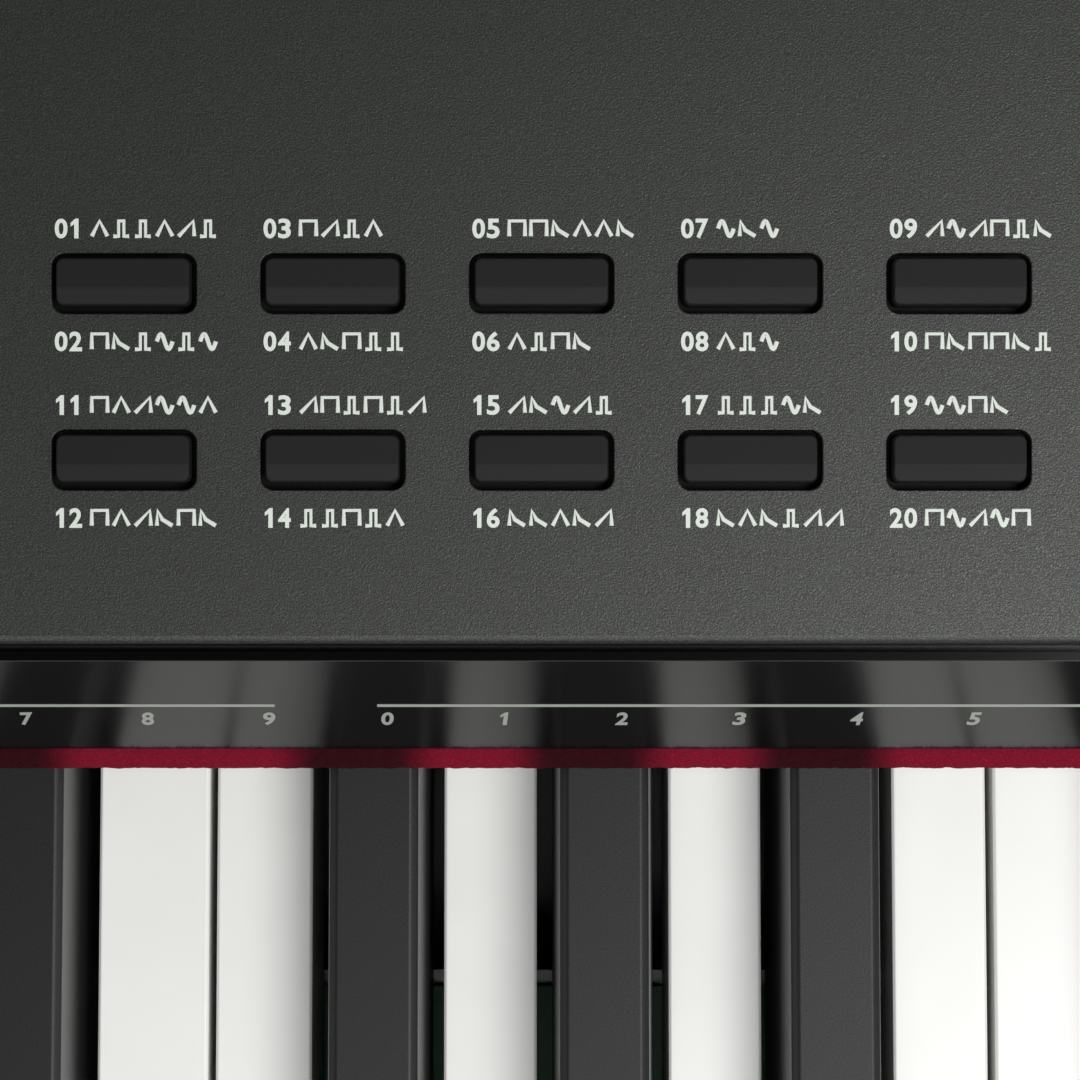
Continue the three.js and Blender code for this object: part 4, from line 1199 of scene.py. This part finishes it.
# Volume knob
# A moulded plastic knob with a ribbed grip round its side, a dished top and a pale pointer.
# It is pushed on to the shaft that comes up through the panel.
KNOB_RADIUS = 10 * MM
KNOB_FOOT = 0.3 * MM
KNOB_TOP = 12.3 * MM
KNOB_NARROWING = 0.85
KNOB_RIM = 1.2 * MM
KNOB_DISH = 0.4 * MM
KNOB_EDGE = 0.25 * MM
GRIP_RIBS = 36
RIB_DEPTH = 0.35 * MM
SIDE_SHARE = 0.8      # the side's corners lie beyond this share of the radius, the dish's within
SHAFT_RADIUS = 3 * MM
SHAFT_FOOT = -12 * MM
POINTER_HALF = 0.4 * MM
POINTER_ENDS = (2 * MM, 7 * MM)
POINTER_FOOT = KNOB_TOP - 0.6 * MM
POINTER_TOP = KNOB_TOP - 0.35 * MM
knob = drum("grip_volume_knob", KNOB_PLACE, KNOB_RADIUS, KNOB_FOOT, KNOB_TOP, sides=GRIP_RIBS * 2)
edit(knob)
pick(knob, "faces", lambda face: face.normal.z > 0.9)
bpy.ops.transform.resize(
    value=(KNOB_NARROWING, KNOB_NARROWING, 1), center_override=(*KNOB_PLACE, 0),
)
bpy.ops.mesh.inset(thickness=KNOB_RIM)
bpy.ops.mesh.extrude_region_move(TRANSFORM_OT_translate={"value": (0, 0, -KNOB_DISH)})
close()
for vert in knob.data.vertices:
    reach = Vector((vert.co.x - KNOB_PLACE[0], vert.co.y - KNOB_PLACE[1], 0))
    rib = round(math.atan2(reach.y, reach.x) / math.tau * GRIP_RIBS * 2)
    if rib % 2 and reach.length > KNOB_RADIUS * SIDE_SHARE:
        vert.co -= reach.normalized() * RIB_DEPTH
soften(knob, KNOB_EDGE, segments=2, angle=50)
shaft = drum("shaft", KNOB_PLACE, SHAFT_RADIUS, SHAFT_FOOT, KNOB_FOOT + MM, sides=32)
knob = union([knob, shaft], "grip_volume_knob")
knob.data.transform(PANEL_PLANE)
paint(knob, button_rubber)
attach(knob, "volume_knob")
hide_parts("volume_knob")

pointer = block(
    "knob_pointer",
    (KNOB_PLACE[0] - POINTER_HALF, KNOB_PLACE[1] + POINTER_ENDS[0], POINTER_FOOT),
    (KNOB_PLACE[0] + POINTER_HALF, KNOB_PLACE[1] + POINTER_ENDS[1], POINTER_TOP),
)
pointer.data.transform(PANEL_PLANE)
paint(pointer, print_ink)
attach(pointer, "volume_knob")


# Rear panel
# Powder coated steel sheet with punched holes for the sockets, held on by ten screws near its
# upper and lower edges. Its shape is a copy of the frame's own part.
SHEET_EDGE = 0.3 * MM
SCREW_FROM_END = 15 * MM
SCREW_FROM_FOOT = 8 * MM
SCREW_FROM_TOP = 10 * MM

# powder coat: a dull dark skin with a fine even pimple
rear_coat, shader = new_material("fine_textured_powder_coat", "#202021", 0.6)
noise = grain(rear_coat, shader, size=0.45 * MM, depth=0.05 * MM, detail=3)
vary(rear_coat, shader, "Base Color", noise.outputs[0], "#1a1a1b", "#29292a")

rear = copy_of("rear_panel", "coated_rear_panel")
soften(rear, SHEET_EDGE, segments=2, angle=50)
paint(rear, rear_coat)
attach(rear, "case")
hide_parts("rear_panel")

rear_low, rear_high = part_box("rear_panel")
left, right = rear_low.x + SCREW_FROM_END, rear_high.x - SCREW_FROM_END
heads = []
for x in (left, rear_low.x / 2, 0, rear_high.x / 2, right):
    for z in (rear_low.z + SCREW_FROM_FOOT, rear_high.z - SCREW_FROM_TOP):
        heads.append(screw("rear_screw", (x, z), rear_high.y, axis="Y", out=1))
screws = union(heads, "rear_panel_screws")
paint(screws, screw_steel)
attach(screws, "case")


# Sockets
# Moulded black bodies behind the rear panel. A plated ring nut outside holds each of the four
# jacks, while the power inlet and the data socket are held from inside.
NUT_RADIUS = 6.6 * MM
NUT_BORE = 4.95 * MM
NUT_HEIGHT = 1.3 * MM
SOCKET_EDGE = 0.2 * MM

# moulded socket plastic: black and smooth, with a soft shine
socket_black, shader = new_material("moulded_black_socket_plastic", "#151515", 0.4)
noise = grain(socket_black, shader, size=0.4 * MM, depth=0.01 * MM)
vary(socket_black, shader, "Base Color", noise.outputs[0], "#101011", "#1d1d1e")

# nickel plate on a turned nut: a bright, slightly warm metal with fine tool marks
nut_plate, shader = new_material("nickel_plated_ring_nut", "#b9b7b0", 0.25, metallic=1)
noise = grain(nut_plate, shader, size=0.5 * MM, depth=0.004 * MM)
vary(nut_plate, shader, "Roughness", noise.outputs[0], 0.18, 0.34)

JACKS = ("pedal_jack", "line_out_right_jack", "line_out_left_jack", "headphone_jack")
for node in (*JACKS, "power_inlet", "data_socket"):
    body = copy_of(node, f"moulded_{node}")
    soften(body, SOCKET_EDGE, segments=2, angle=50)
    paint(body, socket_black)
    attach(body, "case")
    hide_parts(node)

face = rear_high.y
rings = []
for node in JACKS:
    low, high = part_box(node)
    centre = ((low.x + high.x) / 2, (low.z + high.z) / 2)
    ring = drum("ring", centre, NUT_RADIUS, face, face + NUT_HEIGHT, sides=12, axis="Y")
    hole = drum("hole", centre, NUT_BORE, face - MM, face + 3 * MM, axis="Y")
    carve(ring, [hole])
    soften(ring, SOCKET_EDGE, segments=2, angle=50)
    rings.append(ring)
nuts = union(rings, "socket_ring_nuts")
paint(nuts, nut_plate)
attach(nuts, "case")


# Floor, light and the view's colour
# A pale floor without marks, and broad soft lights, the main one to the right and in front,
# so the panel and the black keys get brighter that way. The room is pale all round and dark
# overhead, so that glossy faces that look up mirror no ceiling.
bpy.ops.object.select_all(action="DESELECT")
bpy.ops.mesh.primitive_plane_add(size=12, location=(0, 0, 0))
floor = bpy.context.object
floor.name = "studio_floor"

# matt floor paint: a warm pale grey with very faint broad clouds
floor_paint, shader = new_material("pale_floor", "#d9d8d4", 0.8)
noise = grain(floor_paint, shader, size=40 * MM, depth=0.05 * MM)
vary(floor_paint, shader, "Base Color", noise.outputs[0], "#d6d5d1", "#dcdbd7")
paint(floor, floor_paint)


def lamp(name, place, target, size, power):
    """A square soft light that faces a point."""
    bpy.ops.object.light_add(type="AREA", location=place)
    light = bpy.context.object
    light.name = name
    light.data.shape = "SQUARE"
    light.data.size = size
    light.data.energy = power
    aim = Vector(target) - Vector(place)
    light.rotation_euler = aim.to_track_quat("-Z", "Y").to_euler()


LIT_MIDDLE = (0.04, 0, 0.08)
lamp("key_light", (0.305, -0.14, 0.63), LIT_MIDDLE, size=0.3, power=3.0)
lamp("front_light", (0.0, -0.3, 0.62), LIT_MIDDLE, size=0.36, power=1.2)

world = bpy.data.worlds.new("studio")
world.use_nodes = True
background = world.node_tree.nodes["Background"]
background.inputs["Color"].default_value = linear("#dfe0e0")
place = add_node(world, "ShaderNodeTexCoord")
height = add_node(world, "ShaderNodeSeparateXYZ", Vector=place.outputs["Generated"])
ceiling = add_node(
    world, "ShaderNodeMapRange",
    Value=height.outputs["Z"], From_Min=0.55, From_Max=0.75, To_Min=1.12, To_Max=0.01,
)
world.node_tree.links.new(ceiling.outputs[0], background.inputs["Strength"])
bpy.context.scene.world = world
bpy.context.scene.view_settings.view_transform = "Standard"
